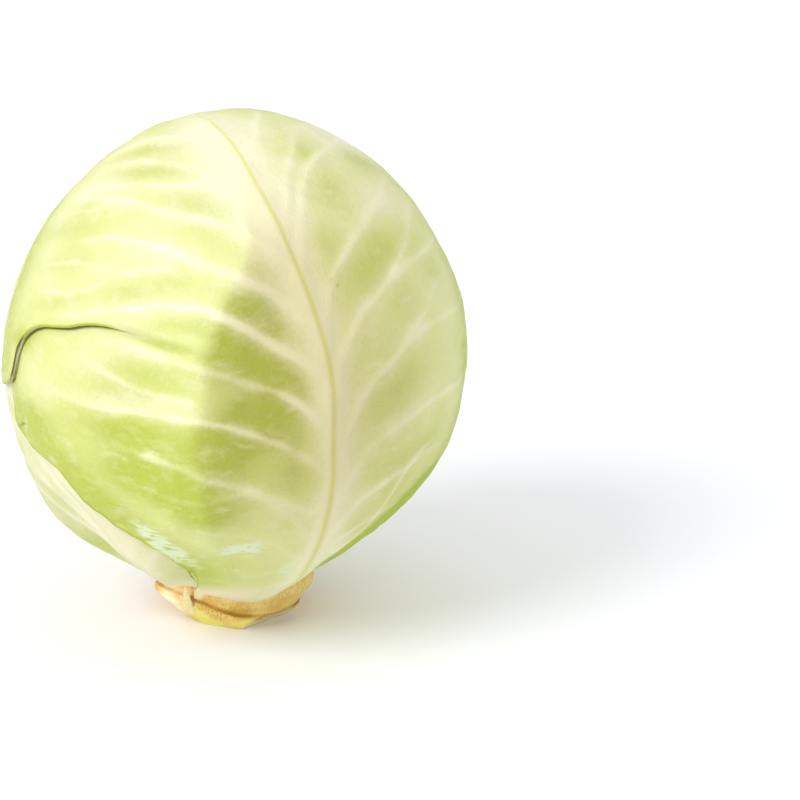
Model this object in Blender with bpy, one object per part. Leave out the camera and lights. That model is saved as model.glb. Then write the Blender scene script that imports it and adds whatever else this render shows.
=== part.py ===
"""White cabbage head standing on its cut stump.

Frame: metres, +Z up, origin at the centre of the stump's flat cut face, which rests on z = 0.
The front of the head faces -Y. Azimuths run from the front towards +X, elevations from the
horizontal through the head's centre.

Construction: every leaf is a thin curved shell laid on one common head surface. The outermost
leaf lies on the head surface itself; a leaf under others lies one leaf pitch deeper for every
leaf that covers it, and rises again beyond their margins.
"""

import math
from dataclasses import dataclass

import bmesh
import bpy
import numpy as np

# ---------------------------------------------------------------- head surface
HEAD_HALF_WIDTH = 0.0825
HEAD_HALF_HEIGHT = 0.0875
HEAD_CENTRE_Z = 0.0940
# Broad flats and swellings of the head: azimuth, elevation, angular width, radius change.
HEAD_LOBES = (
    (100.0, -38.0, 38.0, -0.060),
    (95.0, 45.0, 34.0, -0.032),
    (-88.0, 38.0, 30.0, -0.022),
    (180.0, 5.0, 45.0, -0.020),
)

# ---------------------------------------------------------------- leaf packing
LEAF_THICKNESS = 0.0013
LEAF_PITCH = 0.0030
COVER_PLATEAU = 0.010
COVER_RAMP = 0.034
BASE_CLEARANCE = 0.0007
BASE_REACH = 94.0
BASE_RAMP = 12.0

# ---------------------------------------------------------------- stump and core
CUT_FACE_RADIUS = 0.0195
STUMP_RADIUS = 0.0285
STUMP_SHOULDER_Z = 0.0112
CORE_RADIUS = 0.0215
CORE_TIP_Z = 0.0900
CORE_PROFILE = (
    (0.0000, CUT_FACE_RADIUS),
    (0.0014, CUT_FACE_RADIUS + 0.0022),
    (0.0060, STUMP_RADIUS - 0.0025),
    (STUMP_SHOULDER_Z, STUMP_RADIUS),
    (0.0126, STUMP_RADIUS - 0.0010),
    (0.0146, STUMP_RADIUS - 0.0036),
    (0.0190, CORE_RADIUS),
    (0.0340, CORE_RADIUS + 0.0006),
    (0.0520, CORE_RADIUS - 0.0004),
    (0.0680, CORE_RADIUS - 0.0026),
    (0.0800, CORE_RADIUS - 0.0070),
    (0.0870, CORE_RADIUS - 0.0130),
)
CORE_SIDES = 36

# ---------------------------------------------------------------- heart
HEART_SIDES = 36
HEART_RINGS = 13
HEART_CORE_GAP = 0.0009
HEART_LEAF_GAP = 0.0006
HEART_FLOOR_ANGLE = 146.0

# ---------------------------------------------------------------- slit in the front leaf
SLIT_START = 47.0
SLIT_BEARING_IN = 161.0
SLIT_BEARING_OUT = 176.0
SLIT_HALF_GAP = 0.0004
SLIT_LIFT = 0.0036
SLIT_LIFT_REACH = 17.0

# ---------------------------------------------------------------- midribs
RIB_HEIGHT = 0.0018
RIB_HALF_WIDTH = 7.0


@dataclass(frozen=True)
class Leaf:
    """One leaf: where its centre lies and how far it reaches in eight bearings (degrees)."""

    name: str
    azimuth: float
    elevation: float
    up: float
    up_right: float
    right: float
    low_right: float
    down: float
    low_left: float
    left: float
    up_left: float
    base_shift: float = 0.0
    base_half: float = 7.0
    rings: int = 7
    rib: float = 0.0
    slit: bool = False


WRAPPERS = (
    Leaf("leaf_01_front", 25.0, 12.0, 98.0, 92.0, 80.0, 63.0, 68.0, 70.0, 101.0, 104.0,
         base_shift=-6.0, base_half=7.0, rings=9, rib=1.0, slit=True),
    Leaf("leaf_02_left", -78.0, 9.0, 84.0, 84.0, 80.0, 80.0, 84.0, 82.0, 84.0, 86.0,
         rings=9, rib=1.0),
    Leaf("leaf_03_right", 122.0, 10.0, 88.0, 88.0, 82.0, 80.0, 86.0, 85.0, 84.0, 84.0,
         rings=9, rib=0.8),
    Leaf("leaf_04_back", -158.0, 8.0, 90.0, 86.0, 80.0, 80.0, 84.0, 80.0, 80.0, 88.0,
         rings=9, rib=0.8),
)
UNDER_START_AZIMUTH = -22.0
UNDER_TURN = 137.5
UNDER_COUNT = 4
UNDER_REACH = 84.0
INNER_COUNT = 6
INNER_REACH = 80.0


def clear_scene():
    """Remove whatever objects the scene starts with."""
    for obj in list(bpy.data.objects):
        bpy.data.objects.remove(obj, do_unlink=True)


def smooth(value):
    """Smooth step from 0 to 1 for values 0 to 1."""
    value = np.clip(value, 0.0, 1.0)
    return value * value * (3.0 - 2.0 * value)


def unit(azimuth, elevation):
    """Unit direction for an azimuth and an elevation in degrees."""
    az, el = math.radians(azimuth), math.radians(elevation)
    return np.array([math.sin(az) * math.cos(el), -math.cos(az) * math.cos(el), math.sin(el)])


def leaf_axes(leaf):
    """Centre direction, rightward and upward unit vectors of a leaf."""
    centre = unit(leaf.azimuth, leaf.elevation)
    az = math.radians(leaf.azimuth)
    right = np.array([math.cos(az), math.sin(az), 0.0])
    return centre, right, np.cross(centre, right)


def head_radius(dirs):
    """Distance from the head's centre to the head surface along unit directions."""
    a, c = HEAD_HALF_WIDTH, HEAD_HALF_HEIGHT
    flat = (dirs[:, 0] ** 2 + dirs[:, 1] ** 2) / a ** 2 + dirs[:, 2] ** 2 / c ** 2
    radius = 1.0 / np.sqrt(flat)
    for azimuth, elevation, width, change in HEAD_LOBES:
        dot = np.clip(dirs @ unit(azimuth, elevation), -1.0, 1.0)
        angle = np.degrees(np.arccos(dot))
        radius = radius * (1.0 + change * np.exp(-((angle / width) ** 2)))
    return radius


def to_polar(leaf, dirs):
    """Angular distance from the leaf's centre and bearing (degrees, 90 = up) of directions."""
    centre, right, upward = leaf_axes(leaf)
    rho = np.degrees(np.arccos(np.clip(dirs @ centre, -1.0, 1.0)))
    bearing = np.degrees(np.arctan2(dirs @ upward, dirs @ right)) % 360.0
    return rho, bearing


def from_polar(leaf, rho, bearing):
    """Unit directions at an angular distance and bearing from the leaf's centre."""
    centre, right, upward = leaf_axes(leaf)
    rho, bearing = np.radians(rho), np.radians(bearing)
    side = np.outer(np.cos(bearing), right) + np.outer(np.sin(bearing), upward)
    return np.cos(rho)[:, None] * centre + np.sin(rho)[:, None] * side


def free_reach(leaf, bearing):
    """How far the leaf reaches along bearings, running down past the stump in its base sector."""
    reach = np.array([leaf.right, leaf.up_right, leaf.up, leaf.up_left,
                      leaf.left, leaf.low_left, leaf.down, leaf.low_right])
    slot = (bearing % 360.0) / 45.0
    low = np.floor(slot).astype(int) % 8
    mix = smooth(slot - np.floor(slot))
    rho = reach[low] * (1.0 - mix) + reach[(low + 1) % 8] * mix
    off = np.abs((bearing - 270.0 - leaf.base_shift + 180.0) % 360.0 - 180.0)
    base = smooth((leaf.base_half + BASE_RAMP - off) / BASE_RAMP)
    return np.maximum(rho, rho * (1.0 - base) + BASE_REACH * base)


def cover(leaf, dirs):
    """1 where the leaf lies over a direction, falling to 0 some way beyond its margin."""
    rho, bearing = to_polar(leaf, dirs)
    round_leaf = np.arange(0.0, 360.0, 2.0)
    margin = from_polar(leaf, free_reach(leaf, round_leaf), round_leaf)
    nearest = np.arccos(np.clip(dirs @ margin.T, -1.0, 1.0)).min(axis=1) * HEAD_HALF_WIDTH
    beyond = np.where(rho > free_reach(leaf, bearing), nearest, 0.0)
    return 1.0 - smooth((beyond - COVER_PLATEAU) / COVER_RAMP)


def rib_bulge(leaf, dirs):
    """Height of the leaf's midrib over its blade along directions."""
    if leaf.rib == 0.0:
        return np.zeros(len(dirs))
    rho, bearing = to_polar(leaf, dirs)
    across = rho * np.cos(np.radians(bearing))
    along = rho * np.sin(np.radians(bearing))
    fade = smooth((35.0 - along) / 90.0)
    return leaf.rib * RIB_HEIGHT * fade * np.exp(-((across / RIB_HALF_WIDTH) ** 2))


def slit_bearing(rho):
    """Bearing of the slit at an angular distance from the leaf's centre."""
    run = smooth((rho - SLIT_START) / (100.0 - SLIT_START))
    return SLIT_BEARING_IN + (SLIT_BEARING_OUT - SLIT_BEARING_IN) * run


def slit_lift(leaf, dirs):
    """How far the lobe above the slit stands off the head."""
    if not leaf.slit:
        return np.zeros(len(dirs))
    rho, bearing = to_polar(leaf, dirs)
    above = slit_bearing(rho) - bearing
    along = smooth((rho - SLIT_START) / 40.0)
    near = np.where(above >= -0.01, np.exp(-((above / SLIT_LIFT_REACH) ** 2)), 0.0)
    return SLIT_LIFT * along * near


def outer_radius(leaves, index, dirs):
    """Radius of the outer face of leaf number `index` in packing order."""
    radius = head_radius(dirs)
    bare = np.ones(len(dirs))
    for upper in leaves[:index]:
        share = cover(upper, dirs)
        radius = radius - LEAF_PITCH * share
        bare = bare * (1.0 - share)
    if index < len(leaves):
        radius = radius + rib_bulge(leaves[index], dirs) * bare
    return radius


def core_radius(height):
    """Radius of the stump and core at a height."""
    heights = [z for z, _ in CORE_PROFILE] + [CORE_TIP_Z]
    radii = [r for _, r in CORE_PROFILE] + [0.0]
    return np.interp(height, heights, radii, left=CUT_FACE_RADIUS, right=0.0)


def base_angle(leaves, index):
    """Smallest angle from straight down at which the leaf stands clear of stump and core."""
    azimuths = np.arange(0.0, 360.0, 15.0)
    clear_from = 45.0
    for angle in np.arange(45.0, 8.0, -0.25):
        dirs = np.array([unit(azimuth, angle - 90.0) for azimuth in azimuths])
        outer = outer_radius(leaves, index, dirs)
        for radius in (outer, outer - LEAF_THICKNESS / 2.0, outer - LEAF_THICKNESS):
            height = HEAD_CENTRE_Z + radius * dirs[:, 2]
            out = radius * math.sin(math.radians(angle))
            if np.any(out < core_radius(height) + BASE_CLEARANCE):
                return clear_from
        clear_from = angle
    return clear_from


def clipped_reach(leaf, bearing, stop_angle):
    """Reach of the leaf along bearings, stopped at the circle round the stump."""
    centre, right, upward = leaf_axes(leaf)
    turn = np.radians(bearing)
    down = -(np.cos(turn) * right[2] + np.sin(turn) * upward[2])
    size = np.hypot(-centre[2], down)
    phase = np.arctan2(down, -centre[2])
    ratio = math.cos(math.radians(stop_angle)) / size
    hit = np.degrees(phase - np.arccos(np.clip(ratio, -1.0, 1.0)))
    hit = np.where((ratio <= 1.0) & (hit > 0.0), hit, 999.0)
    return np.minimum(free_reach(leaf, bearing), hit)


def ring_reach(leaf, bearing, stop_angle, part):
    """Angular distance of a ring's vertices: nearly round inside, the leaf's outline outside."""
    full = clipped_reach(leaf, bearing, stop_angle)
    typical = (leaf.up + leaf.left + leaf.right + leaf.down) / 4.0
    return part * ((1.0 - part) * typical + part * full)


def even_bearings(leaf, stop_angle, start):
    """Bearings as a function of the fraction of the way round the leaf's outline."""
    fine = start + np.linspace(0.0, 360.0, 1441)
    reach = clipped_reach(leaf, fine, stop_angle)
    points = from_polar(leaf, reach, fine)
    step = np.linalg.norm(np.diff(points, axis=0), axis=1)
    walked = np.concatenate([[0.0], np.cumsum(step + 0.15 * step.mean())])
    return walked / walked[-1], fine


def ring_vertices(leaf, stop_angle):
    """Directions of a leaf's vertices ring by ring; a slit doubles the first spoke."""
    start = SLIT_BEARING_IN if leaf.slit else 90.0
    fraction, fine = even_bearings(leaf, stop_angle, start)
    rings = [from_polar(leaf, np.array([0.0]), np.array([0.0]))]
    lips = [0.0]
    for ring in range(1, leaf.rings + 1):
        part = ring / leaf.rings
        count = 6 * ring
        share = np.arange(count + 1) / count
        bearing = np.interp(share, fraction, fine) * part + (start + 360.0 * share) * (1.0 - part)
        reach = ring_reach(leaf, bearing, stop_angle, part)
        split = False
        if leaf.slit:
            drift = slit_bearing(reach[0]) - start
            near = np.exp(-((np.minimum(share, 1.0 - share) * 360.0 / 40.0) ** 2))
            bearing = bearing + drift * near
            reach = ring_reach(leaf, bearing, stop_angle, part)
            split = reach[0] > SLIT_START + 2.0
        if split:
            half = math.degrees(SLIT_HALF_GAP / HEAD_HALF_WIDTH)
            half = half / max(math.sin(math.radians(reach[0])), 0.3)
            bearing[0] += half
            bearing[-1] -= half
        else:
            bearing, reach = bearing[:-1], reach[:-1]
        rings.append(from_polar(leaf, reach, bearing))
        lips.append(1.0 if split else 0.0)
    return rings, lips


def stitch(inner, outer, inner_closed, outer_closed):
    """Triangles between two vertex loops given as lists of indices going the same way round."""
    inner = list(inner) + ([inner[0]] if inner_closed else [])
    outer = list(outer) + ([outer[0]] if outer_closed else [])
    faces = []
    i = j = 0
    while i < len(inner) - 1 or j < len(outer) - 1:
        step_inner = (i + 1) / max(len(inner) - 1, 1)
        step_outer = (j + 1) / max(len(outer) - 1, 1)
        if j < len(outer) - 1 and (i >= len(inner) - 1 or step_outer <= step_inner):
            faces.append((inner[i], outer[j], outer[j + 1]))
            j += 1
        else:
            faces.append((inner[i], outer[j], inner[i + 1]))
            i += 1
    return faces


def leaf_surface(leaf, stop_angle):
    """Directions and triangles of a leaf's open surface, seen from outside anticlockwise."""
    rings, lips = ring_vertices(leaf, stop_angle)
    dirs = np.concatenate(rings)
    starts = np.cumsum([0] + [len(ring) for ring in rings])
    faces = []
    for number in range(1, len(rings)):
        outer = list(range(starts[number], starts[number + 1]))
        inner = list(range(starts[number - 1], starts[number]))
        split = lips[number] > 0.0
        if number == 1:
            loop = outer + ([] if split else [outer[0]])
            faces += [(inner[0], loop[k], loop[k + 1]) for k in range(len(loop) - 1)]
            continue
        inner_split = lips[number - 1] > 0.0
        faces += stitch(inner, outer, not inner_split, not split)
    return dirs, faces


def boundary_edges(faces):
    """Directed edges used by one face only."""
    seen = {}
    for face in faces:
        for k in range(3):
            a, b = face[k], face[(k + 1) % 3]
            if (b, a) in seen:
                del seen[(b, a)]
            else:
                seen[(a, b)] = True
    return list(seen)


def make_object(name, vertices, faces, material, smooth_angle=50.0):
    """Turn vertices and faces into one closed, outward-facing object with its material."""
    mesh = bpy.data.meshes.new(name)
    mesh.from_pydata([tuple(map(float, v)) for v in vertices], [], [tuple(f) for f in faces])
    mesh.update()
    work = bmesh.new()
    work.from_mesh(mesh)
    loose = [v for v in work.verts if not v.link_faces]
    bmesh.ops.delete(work, geom=loose, context="VERTS")
    bmesh.ops.recalc_face_normals(work, faces=work.faces)
    if work.calc_volume(signed=True) < 0.0:
        bmesh.ops.reverse_faces(work, faces=work.faces)
    work.to_mesh(mesh)
    work.free()
    obj = bpy.data.objects.new(name, mesh)
    bpy.context.scene.collection.objects.link(obj)
    obj.data.materials.append(material)
    obj.data.shade_smooth()
    obj.data.set_sharp_from_angle(angle=math.radians(smooth_angle))
    return obj


def make_material(name, colour, roughness):
    """Principled material of one plain colour."""
    material = bpy.data.materials.new(name)
    material.use_nodes = True
    shader = material.node_tree.nodes["Principled BSDF"]
    shader.inputs["Base Color"].default_value = (*colour, 1.0)
    shader.inputs["Roughness"].default_value = roughness
    return material


def build_leaf(leaves, index, material):
    """Build one leaf as a closed shell."""
    leaf = leaves[index]
    dirs, faces = leaf_surface(leaf, base_angle(leaves, index))
    outer = outer_radius(leaves, index, dirs) + lip_lift(leaf, dirs, faces)
    centre = np.array([0.0, 0.0, HEAD_CENTRE_Z])
    count = len(dirs)
    vertices = np.concatenate([centre + dirs * outer[:, None],
                               centre + dirs * (outer - LEAF_THICKNESS)[:, None]])
    shell = list(faces)
    shell += [(c + count, b + count, a + count) for a, b, c in faces]
    for a, b in boundary_edges(faces):
        shell.append((b, a, a + count))
        shell.append((b, a + count, b + count))
    return make_object(leaf.name, vertices, shell, material)


def lip_lift(leaf, dirs, faces):
    """Lift of the lobe above the slit; the lip below it stays down."""
    if not leaf.slit:
        return np.zeros(len(dirs))
    return slit_lift(leaf, dirs)


def lathe_faces(rows, sides, first, last):
    """Faces of a stack of rings with a pole vertex at either end (indices first and last)."""
    faces = []
    for k in range(sides):
        faces.append((first, rows[0] + (k + 1) % sides, rows[0] + k))
    for low, high in zip(rows[:-1], rows[1:]):
        for k in range(sides):
            n = (k + 1) % sides
            faces.append((low + k, low + n, high + n, high + k))
    for k in range(sides):
        faces.append((last, rows[-1] + k, rows[-1] + (k + 1) % sides))
    return faces


def stump_wobble(angle, height):
    """Radius factor of the stump: uneven leaf scars outside, plain round core inside."""
    outside = 1.0 - smooth((height - STUMP_SHOULDER_Z + 0.001) / 0.003)
    wave = 0.030 * np.sin(3.0 * angle + 0.6) + 0.022 * np.sin(5.0 * angle + 2.0)
    return 1.0 + outside * (wave - 0.03)


def build_stump_core(material):
    """The stump with its flat cut face, in one piece with the core inside the head."""
    angles = np.arange(CORE_SIDES) * 2.0 * math.pi / CORE_SIDES
    vertices = [(0.0, 0.0, 0.0)]
    rows = []
    for height, radius in CORE_PROFILE:
        rows.append(len(vertices))
        size = radius * stump_wobble(angles, height)
        ring = zip(np.sin(angles) * size, -np.cos(angles) * size)
        vertices += [(x, y, height) for x, y in ring]
    vertices.append((0.0, 0.0, CORE_TIP_Z))
    faces = lathe_faces(rows, CORE_SIDES, 0, len(vertices) - 1)
    return make_object("stump_core", vertices, faces, material)


def build_heart(leaves, material):
    """The tight heart: a solid bud with a socket that takes the core."""
    angles = np.arange(HEART_SIDES) * 360.0 / HEART_SIDES
    vertices = []
    top = outer_radius(leaves, len(leaves), np.array([[0.0, 0.0, 1.0]]))[0]
    vertices.append((0.0, 0.0, HEAD_CENTRE_Z + top))
    rows = []
    for ring in range(1, HEART_RINGS + 1):
        elevation = 90.0 - HEART_FLOOR_ANGLE * ring / HEART_RINGS
        dirs = np.array([unit(angle, elevation) for angle in angles])
        radius = outer_radius(leaves, len(leaves), dirs) - HEART_LEAF_GAP
        rows.append(len(vertices))
        vertices += [tuple(v) for v in dirs * radius[:, None] + (0.0, 0.0, HEAD_CENTRE_Z)]
    floor = min(v[2] for v in vertices[rows[-1]:])
    socket = [z for z, _ in CORE_PROFILE if z > floor + 0.004]
    for height in [floor + 0.002] + socket:
        radius = float(core_radius(height)) + HEART_CORE_GAP
        rows.append(len(vertices))
        for angle in np.radians(angles):
            vertices.append((math.sin(angle) * radius, -math.cos(angle) * radius, height))
    vertices.append((0.0, 0.0, CORE_TIP_Z + HEART_CORE_GAP))
    faces = lathe_faces(rows, HEART_SIDES, 0, len(vertices) - 1)
    return make_object("heart_bud", vertices, faces, material)


def hidden_leaves():
    """Leaves wholly under the wrappers, set round the stem by the usual leaf turn."""
    leaves = []
    for number in range(UNDER_COUNT + INNER_COUNT):
        under = number < UNDER_COUNT
        azimuth = UNDER_START_AZIMUTH + number * UNDER_TURN
        azimuth = (azimuth + 180.0) % 360.0 - 180.0
        reach = UNDER_REACH if under else INNER_REACH
        sway = 3.0 * math.sin(2.4 * number)
        kind = "under" if under else "inner"
        leaves.append(Leaf(
            f"leaf_{number + 5:02d}_{kind}", azimuth, 10.0 + sway,
            reach + 4.0, reach + sway, reach - 3.0, reach - 4.0, reach,
            reach - 4.0, reach - 5.0, reach - sway, rings=7))
    return leaves


def main():
    """Build every piece of the head."""
    clear_scene()
    leaves = list(WRAPPERS) + hidden_leaves()
    build_stump_core(make_material("stump", (0.62, 0.46, 0.20), 0.75))
    for index, leaf in enumerate(leaves):
        depth = index / (len(leaves) - 1)
        colour = (0.62 + 0.22 * depth, 0.70 + 0.14 * depth, 0.22 + 0.26 * depth)
        build_leaf(leaves, index, make_material(f"{leaf.name}_skin", colour, 0.45))
    build_heart(leaves, make_material("heart", (0.86, 0.85, 0.52), 0.5))


main()
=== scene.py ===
"""Looks of a white cabbage head standing on its cut stump.

Eight fine leaf shells and a fine stump stand for nine CAD nodes: the four wrapper leaves, the
four leaves just under them, and the stump. The inner leaves and the heart keep their CAD meshes
and get procedural materials.
Lengths are metres unless a name or a docstring says otherwise, angles are degrees.
"""

import logging
import math
from dataclasses import dataclass, field
from enum import Enum

import bpy
import numpy as np
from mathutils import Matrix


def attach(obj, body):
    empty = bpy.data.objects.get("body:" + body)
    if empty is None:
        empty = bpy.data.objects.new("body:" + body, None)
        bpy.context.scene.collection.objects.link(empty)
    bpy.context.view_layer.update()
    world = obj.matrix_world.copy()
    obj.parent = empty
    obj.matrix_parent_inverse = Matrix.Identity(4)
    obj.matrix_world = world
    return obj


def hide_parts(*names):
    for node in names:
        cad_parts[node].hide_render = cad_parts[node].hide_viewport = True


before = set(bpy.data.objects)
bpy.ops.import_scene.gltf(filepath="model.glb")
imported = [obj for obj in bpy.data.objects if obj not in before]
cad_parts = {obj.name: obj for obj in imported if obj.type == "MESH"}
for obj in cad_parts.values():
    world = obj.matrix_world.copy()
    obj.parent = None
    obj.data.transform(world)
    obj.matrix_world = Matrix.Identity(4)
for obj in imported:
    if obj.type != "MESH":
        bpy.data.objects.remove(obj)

LOG = logging.getLogger("cabbage")
BODY = "root"
MM = 0.001
CHUNK = 20000  # directions measured at a time
FAR_DEGREES = 999.0
FAR_MM = 99.0
Array = np.ndarray
Point2 = tuple[float, float]
Colour = tuple[float, float, float]


class Side(Enum):
    """Side of a leaf's midrib, seen from outside with the base down."""

    LEFT = -1.0
    RIGHT = 1.0


class Mark(str, Enum):
    """Names of the per-vertex values that the materials and relief nodes read."""

    RELIEF = "relief"
    PALE = "pale"
    DEEP = "deep"
    KEEL = "keel"
    SCRAPE = "scrape"
    RIM = "rim"
    BASE = "base"
    # painted shade: darkens and warms the side of a leaf turned away from the key light
    PAINTED_SHADE = "warm"
    SKIN = "skin"
    FIBRE = "fibre"
    CUT = "cut"
    # brown scars and nicks, plus painted shadow: the line under the slit's lip and a band on the
    # stump
    SCAR_AND_SHADOW = "scar"
    SAP = "sap"


def smooth(value: Array) -> Array:
    """Smooth step from 0 to 1 over values 0 to 1."""
    value = np.clip(value, 0.0, 1.0)
    return value * value * (3.0 - 2.0 * value)


def bell(value: Array) -> Array:
    """Bell curve: 1 at 0, falling to almost 0 at 2."""
    return np.exp(-(value * value))


def linear(red: float, green: float, blue: float) -> Colour:
    """Scene-linear colour of an 8-bit display colour.

    Args:
        red: Red, 0 to 255.
        green: Green, 0 to 255.
        blue: Blue, 0 to 255.

    Returns:
        The colour as three linear values.
    """
    parts = (channel / 255.0 for channel in (red, green, blue))
    return tuple(p / 12.92 if p < 0.04045 else ((p + 0.055) / 1.055) ** 2.4 for p in parts)


def unit(azimuth: float, elevation: float) -> Array:
    """Unit direction in the frame's axes.

    Args:
        azimuth: Turn from the front (-Y) towards +X.
        elevation: Angle above the floor.

    Returns:
        The direction.
    """
    az, el = math.radians(azimuth), math.radians(elevation)
    return np.array([math.sin(az) * math.cos(el), -math.cos(az) * math.cos(el), math.sin(el)])


def value_noise(points: Array, seed: int, cell: float) -> Array:
    """Smooth 3-D value noise.

    Args:
        points: Positions, one row each.
        seed: Fixed seed of the lattice values.
        cell: Size of one noise cell, in the unit of the points.

    Returns:
        One value from -1 to 1 per point.
    """
    size, offset = 24, 97.0
    lattice = np.random.default_rng(seed).uniform(-1.0, 1.0, (size, size, size))
    scaled = points / cell + offset
    low = np.floor(scaled).astype(int)
    mix = smooth(scaled - low)
    total = np.zeros(len(points))
    for corner in range(8):
        step = np.array([corner & 1, (corner >> 1) & 1, (corner >> 2) & 1])
        weight = np.prod(np.where(step == 1, mix, 1.0 - mix), axis=1)
        index = (low + step) % size
        total += weight * lattice[index[:, 0], index[:, 1], index[:, 2]]
    return total


def grid_quads(number: Array) -> Array:
    """Quads between the rows of a grid whose rows close round.

    Args:
        number: Vertex numbers, one row per ring.

    Returns:
        Four vertex numbers per row.
    """
    following = np.roll(number, -1, axis=1)
    corners = [number[:-1], following[:-1], following[1:], number[1:]]
    return np.stack(corners, axis=-1).reshape(-1, 4)


@dataclass(frozen=True)
class Lobe:
    """A broad flat (negative change) or swelling of the head, as a share of its radius."""

    azimuth: float
    elevation: float
    width: float
    change: float


@dataclass(frozen=True)
class HeadForm:
    """The smooth surface that the outermost leaf lies on."""

    half_width: float = 82.5 * MM
    half_height: float = 88.1 * MM
    centre_z: float = 94.0 * MM
    swell: float = 0.7 * MM
    lobes: tuple[Lobe, ...] = (
        Lobe(100.0, -38.0, 38.0, -0.060),
        Lobe(95.0, 45.0, 34.0, -0.032),
        Lobe(-88.0, 38.0, 30.0, -0.030),
        Lobe(180.0, 5.0, 45.0, -0.020),
        Lobe(64.0, -55.0, 19.0, -0.132),
        Lobe(-46.0, -66.0, 12.0, -0.085),
        Lobe(-73.0, -41.0, 13.0, 0.026),
        Lobe(74.0, -40.0, 16.0, -0.012),
        Lobe(-62.0, -56.0, 20.0, -0.034),
        Lobe(-76.0, -20.0, 28.0, -0.020),
        Lobe(-125.0, 58.0, 28.0, -0.018),
        Lobe(-95.0, 15.0, 32.0, -0.007),
    )

    @property
    def centre(self) -> Array:
        """Centre of the head."""
        return np.array([0.0, 0.0, self.centre_z])

    def radius(self, dirs: Array) -> Array:
        """Distance from the centre to the surface.

        Args:
            dirs: Unit directions, one row each.

        Returns:
            One distance per direction.
        """
        level = (dirs[:, 0] ** 2 + dirs[:, 1] ** 2) / self.half_width ** 2
        radius = 1.0 / np.sqrt(level + dirs[:, 2] ** 2 / self.half_height ** 2)
        for lobe in self.lobes:
            dot = np.clip(dirs @ unit(lobe.azimuth, lobe.elevation), -1.0, 1.0)
            angle = np.degrees(np.arccos(dot))
            radius = radius * (1.0 + lobe.change * bell(angle / lobe.width))
        swell = value_noise(dirs, 71, 0.30) + 0.45 * value_noise(dirs, 72, 0.11)
        return radius + self.swell * (swell + 0.16 * value_noise(dirs, 73, 0.05))


@dataclass(frozen=True)
class Placement:
    """Where a leaf's centre lies on the head; its plane has x to the right and y up."""

    azimuth: float
    elevation: float

    def axes(self) -> tuple[Array, Array, Array]:
        """Axes of the leaf plane.

        Returns:
            Centre direction, rightward and upward unit vectors.
        """
        centre = unit(self.azimuth, self.elevation)
        turn = math.radians(self.azimuth)
        right = np.array([math.cos(turn), math.sin(turn), 0.0])
        return centre, right, np.cross(centre, right)

    def polar(self, dirs: Array) -> tuple[Array, Array]:
        """Place of directions round the leaf's centre.

        Args:
            dirs: Unit directions.

        Returns:
            Angular distances from the centre and bearings (0 = right, 90 = up).
        """
        centre, right, upward = self.axes()
        rho = np.degrees(np.arccos(np.clip(dirs @ centre, -1.0, 1.0)))
        bearing = np.degrees(np.arctan2(dirs @ upward, dirs @ right)) % 360.0
        return rho, bearing

    def plane(self, dirs: Array) -> tuple[Array, Array]:
        """Place of directions in the leaf plane.

        Args:
            dirs: Unit directions.

        Returns:
            Leaf-plane x and y, in degrees.
        """
        rho, bearing = self.polar(dirs)
        turn = np.radians(bearing)
        return rho * np.cos(turn), rho * np.sin(turn)

    def dirs(self, rho: Array, bearing: Array) -> Array:
        """Unit directions at places round the leaf's centre.

        Args:
            rho: Angular distances from the centre.
            bearing: Bearings (0 = right, 90 = up).

        Returns:
            One direction per place.
        """
        centre, right, upward = self.axes()
        rho, turn = np.radians(rho), np.radians(bearing)
        side = np.outer(np.cos(turn), right) + np.outer(np.sin(turn), upward)
        return np.cos(rho)[:, None] * centre + np.sin(rho)[:, None] * side

    def dirs_at(self, x: Array, y: Array) -> Array:
        """Unit directions of leaf-plane points."""
        return self.dirs(np.hypot(x, y), np.degrees(np.arctan2(y, x)))


def course(points: tuple[Point2, ...], value: Array, cycle: float = 0.0) -> Array:
    """Smooth curve through points, read at values.

    Args:
        points: Pairs of place and height, places rising.
        value: Places to read.
        cycle: Length after which the curve repeats, or 0.

    Returns:
        One height per value.
    """
    x, y = (np.array(row, dtype=float) for row in zip(*points))
    if cycle:
        x = np.concatenate([x[-2:] - cycle, x, x[:2] + cycle])
        y = np.concatenate([y[-2:], y, y[:2]])
        value = value % cycle
    slope = np.gradient(y, x)
    k = np.clip(np.searchsorted(x, value, side="right") - 1, 0, len(x) - 2)
    span = x[k + 1] - x[k]
    t = np.clip((value - x[k]) / span, 0.0, 1.0)
    start = (2.0 * t ** 3 - 3.0 * t ** 2 + 1.0) * y[k]
    start = start + (t ** 3 - 2.0 * t ** 2 + t) * span * slope[k]
    finish = (3.0 * t ** 2 - 2.0 * t ** 3) * y[k + 1]
    finish = finish + (t ** 3 - t ** 2) * span * slope[k + 1]
    return start + finish


@dataclass(frozen=True)
class Outline:
    """How far a leaf reaches from its centre, as pairs of bearing and reach.

    The leaf stops at a cone of `stop_angle` round the stem. `ragged` is the swing of the fine
    waves of its margin.
    """

    points: tuple[Point2, ...]
    stop_angle: float = 17.4
    ragged: float = 0.9

    def free(self, bearing: Array) -> Array:
        """Reach along bearings, taking no notice of the stump."""
        return course(self.points, bearing, 360.0)

    def clipped(self, place: Placement, bearing: Array, extra: Array | float = 0.0) -> Array:
        """Reach along bearings, stopped at the circle round the stump.

        Args:
            place: Where the leaf's centre lies.
            bearing: Bearings in the leaf plane.
            extra: Added reach.

        Returns:
            One reach per bearing.
        """
        centre, right, upward = place.axes()
        turn = np.radians(bearing)
        down = -(np.cos(turn) * right[2] + np.sin(turn) * upward[2])
        size = np.hypot(-centre[2], down)
        phase = np.arctan2(down, -centre[2])
        ratio = math.cos(math.radians(self.stop_angle)) / size
        hit = np.degrees(phase - np.arccos(np.clip(ratio, -1.0, 1.0)))
        hit = np.where((ratio <= 1.0) & (hit > 0.0), hit, FAR_DEGREES)
        return np.minimum(self.free(bearing) + extra, hit)


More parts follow.
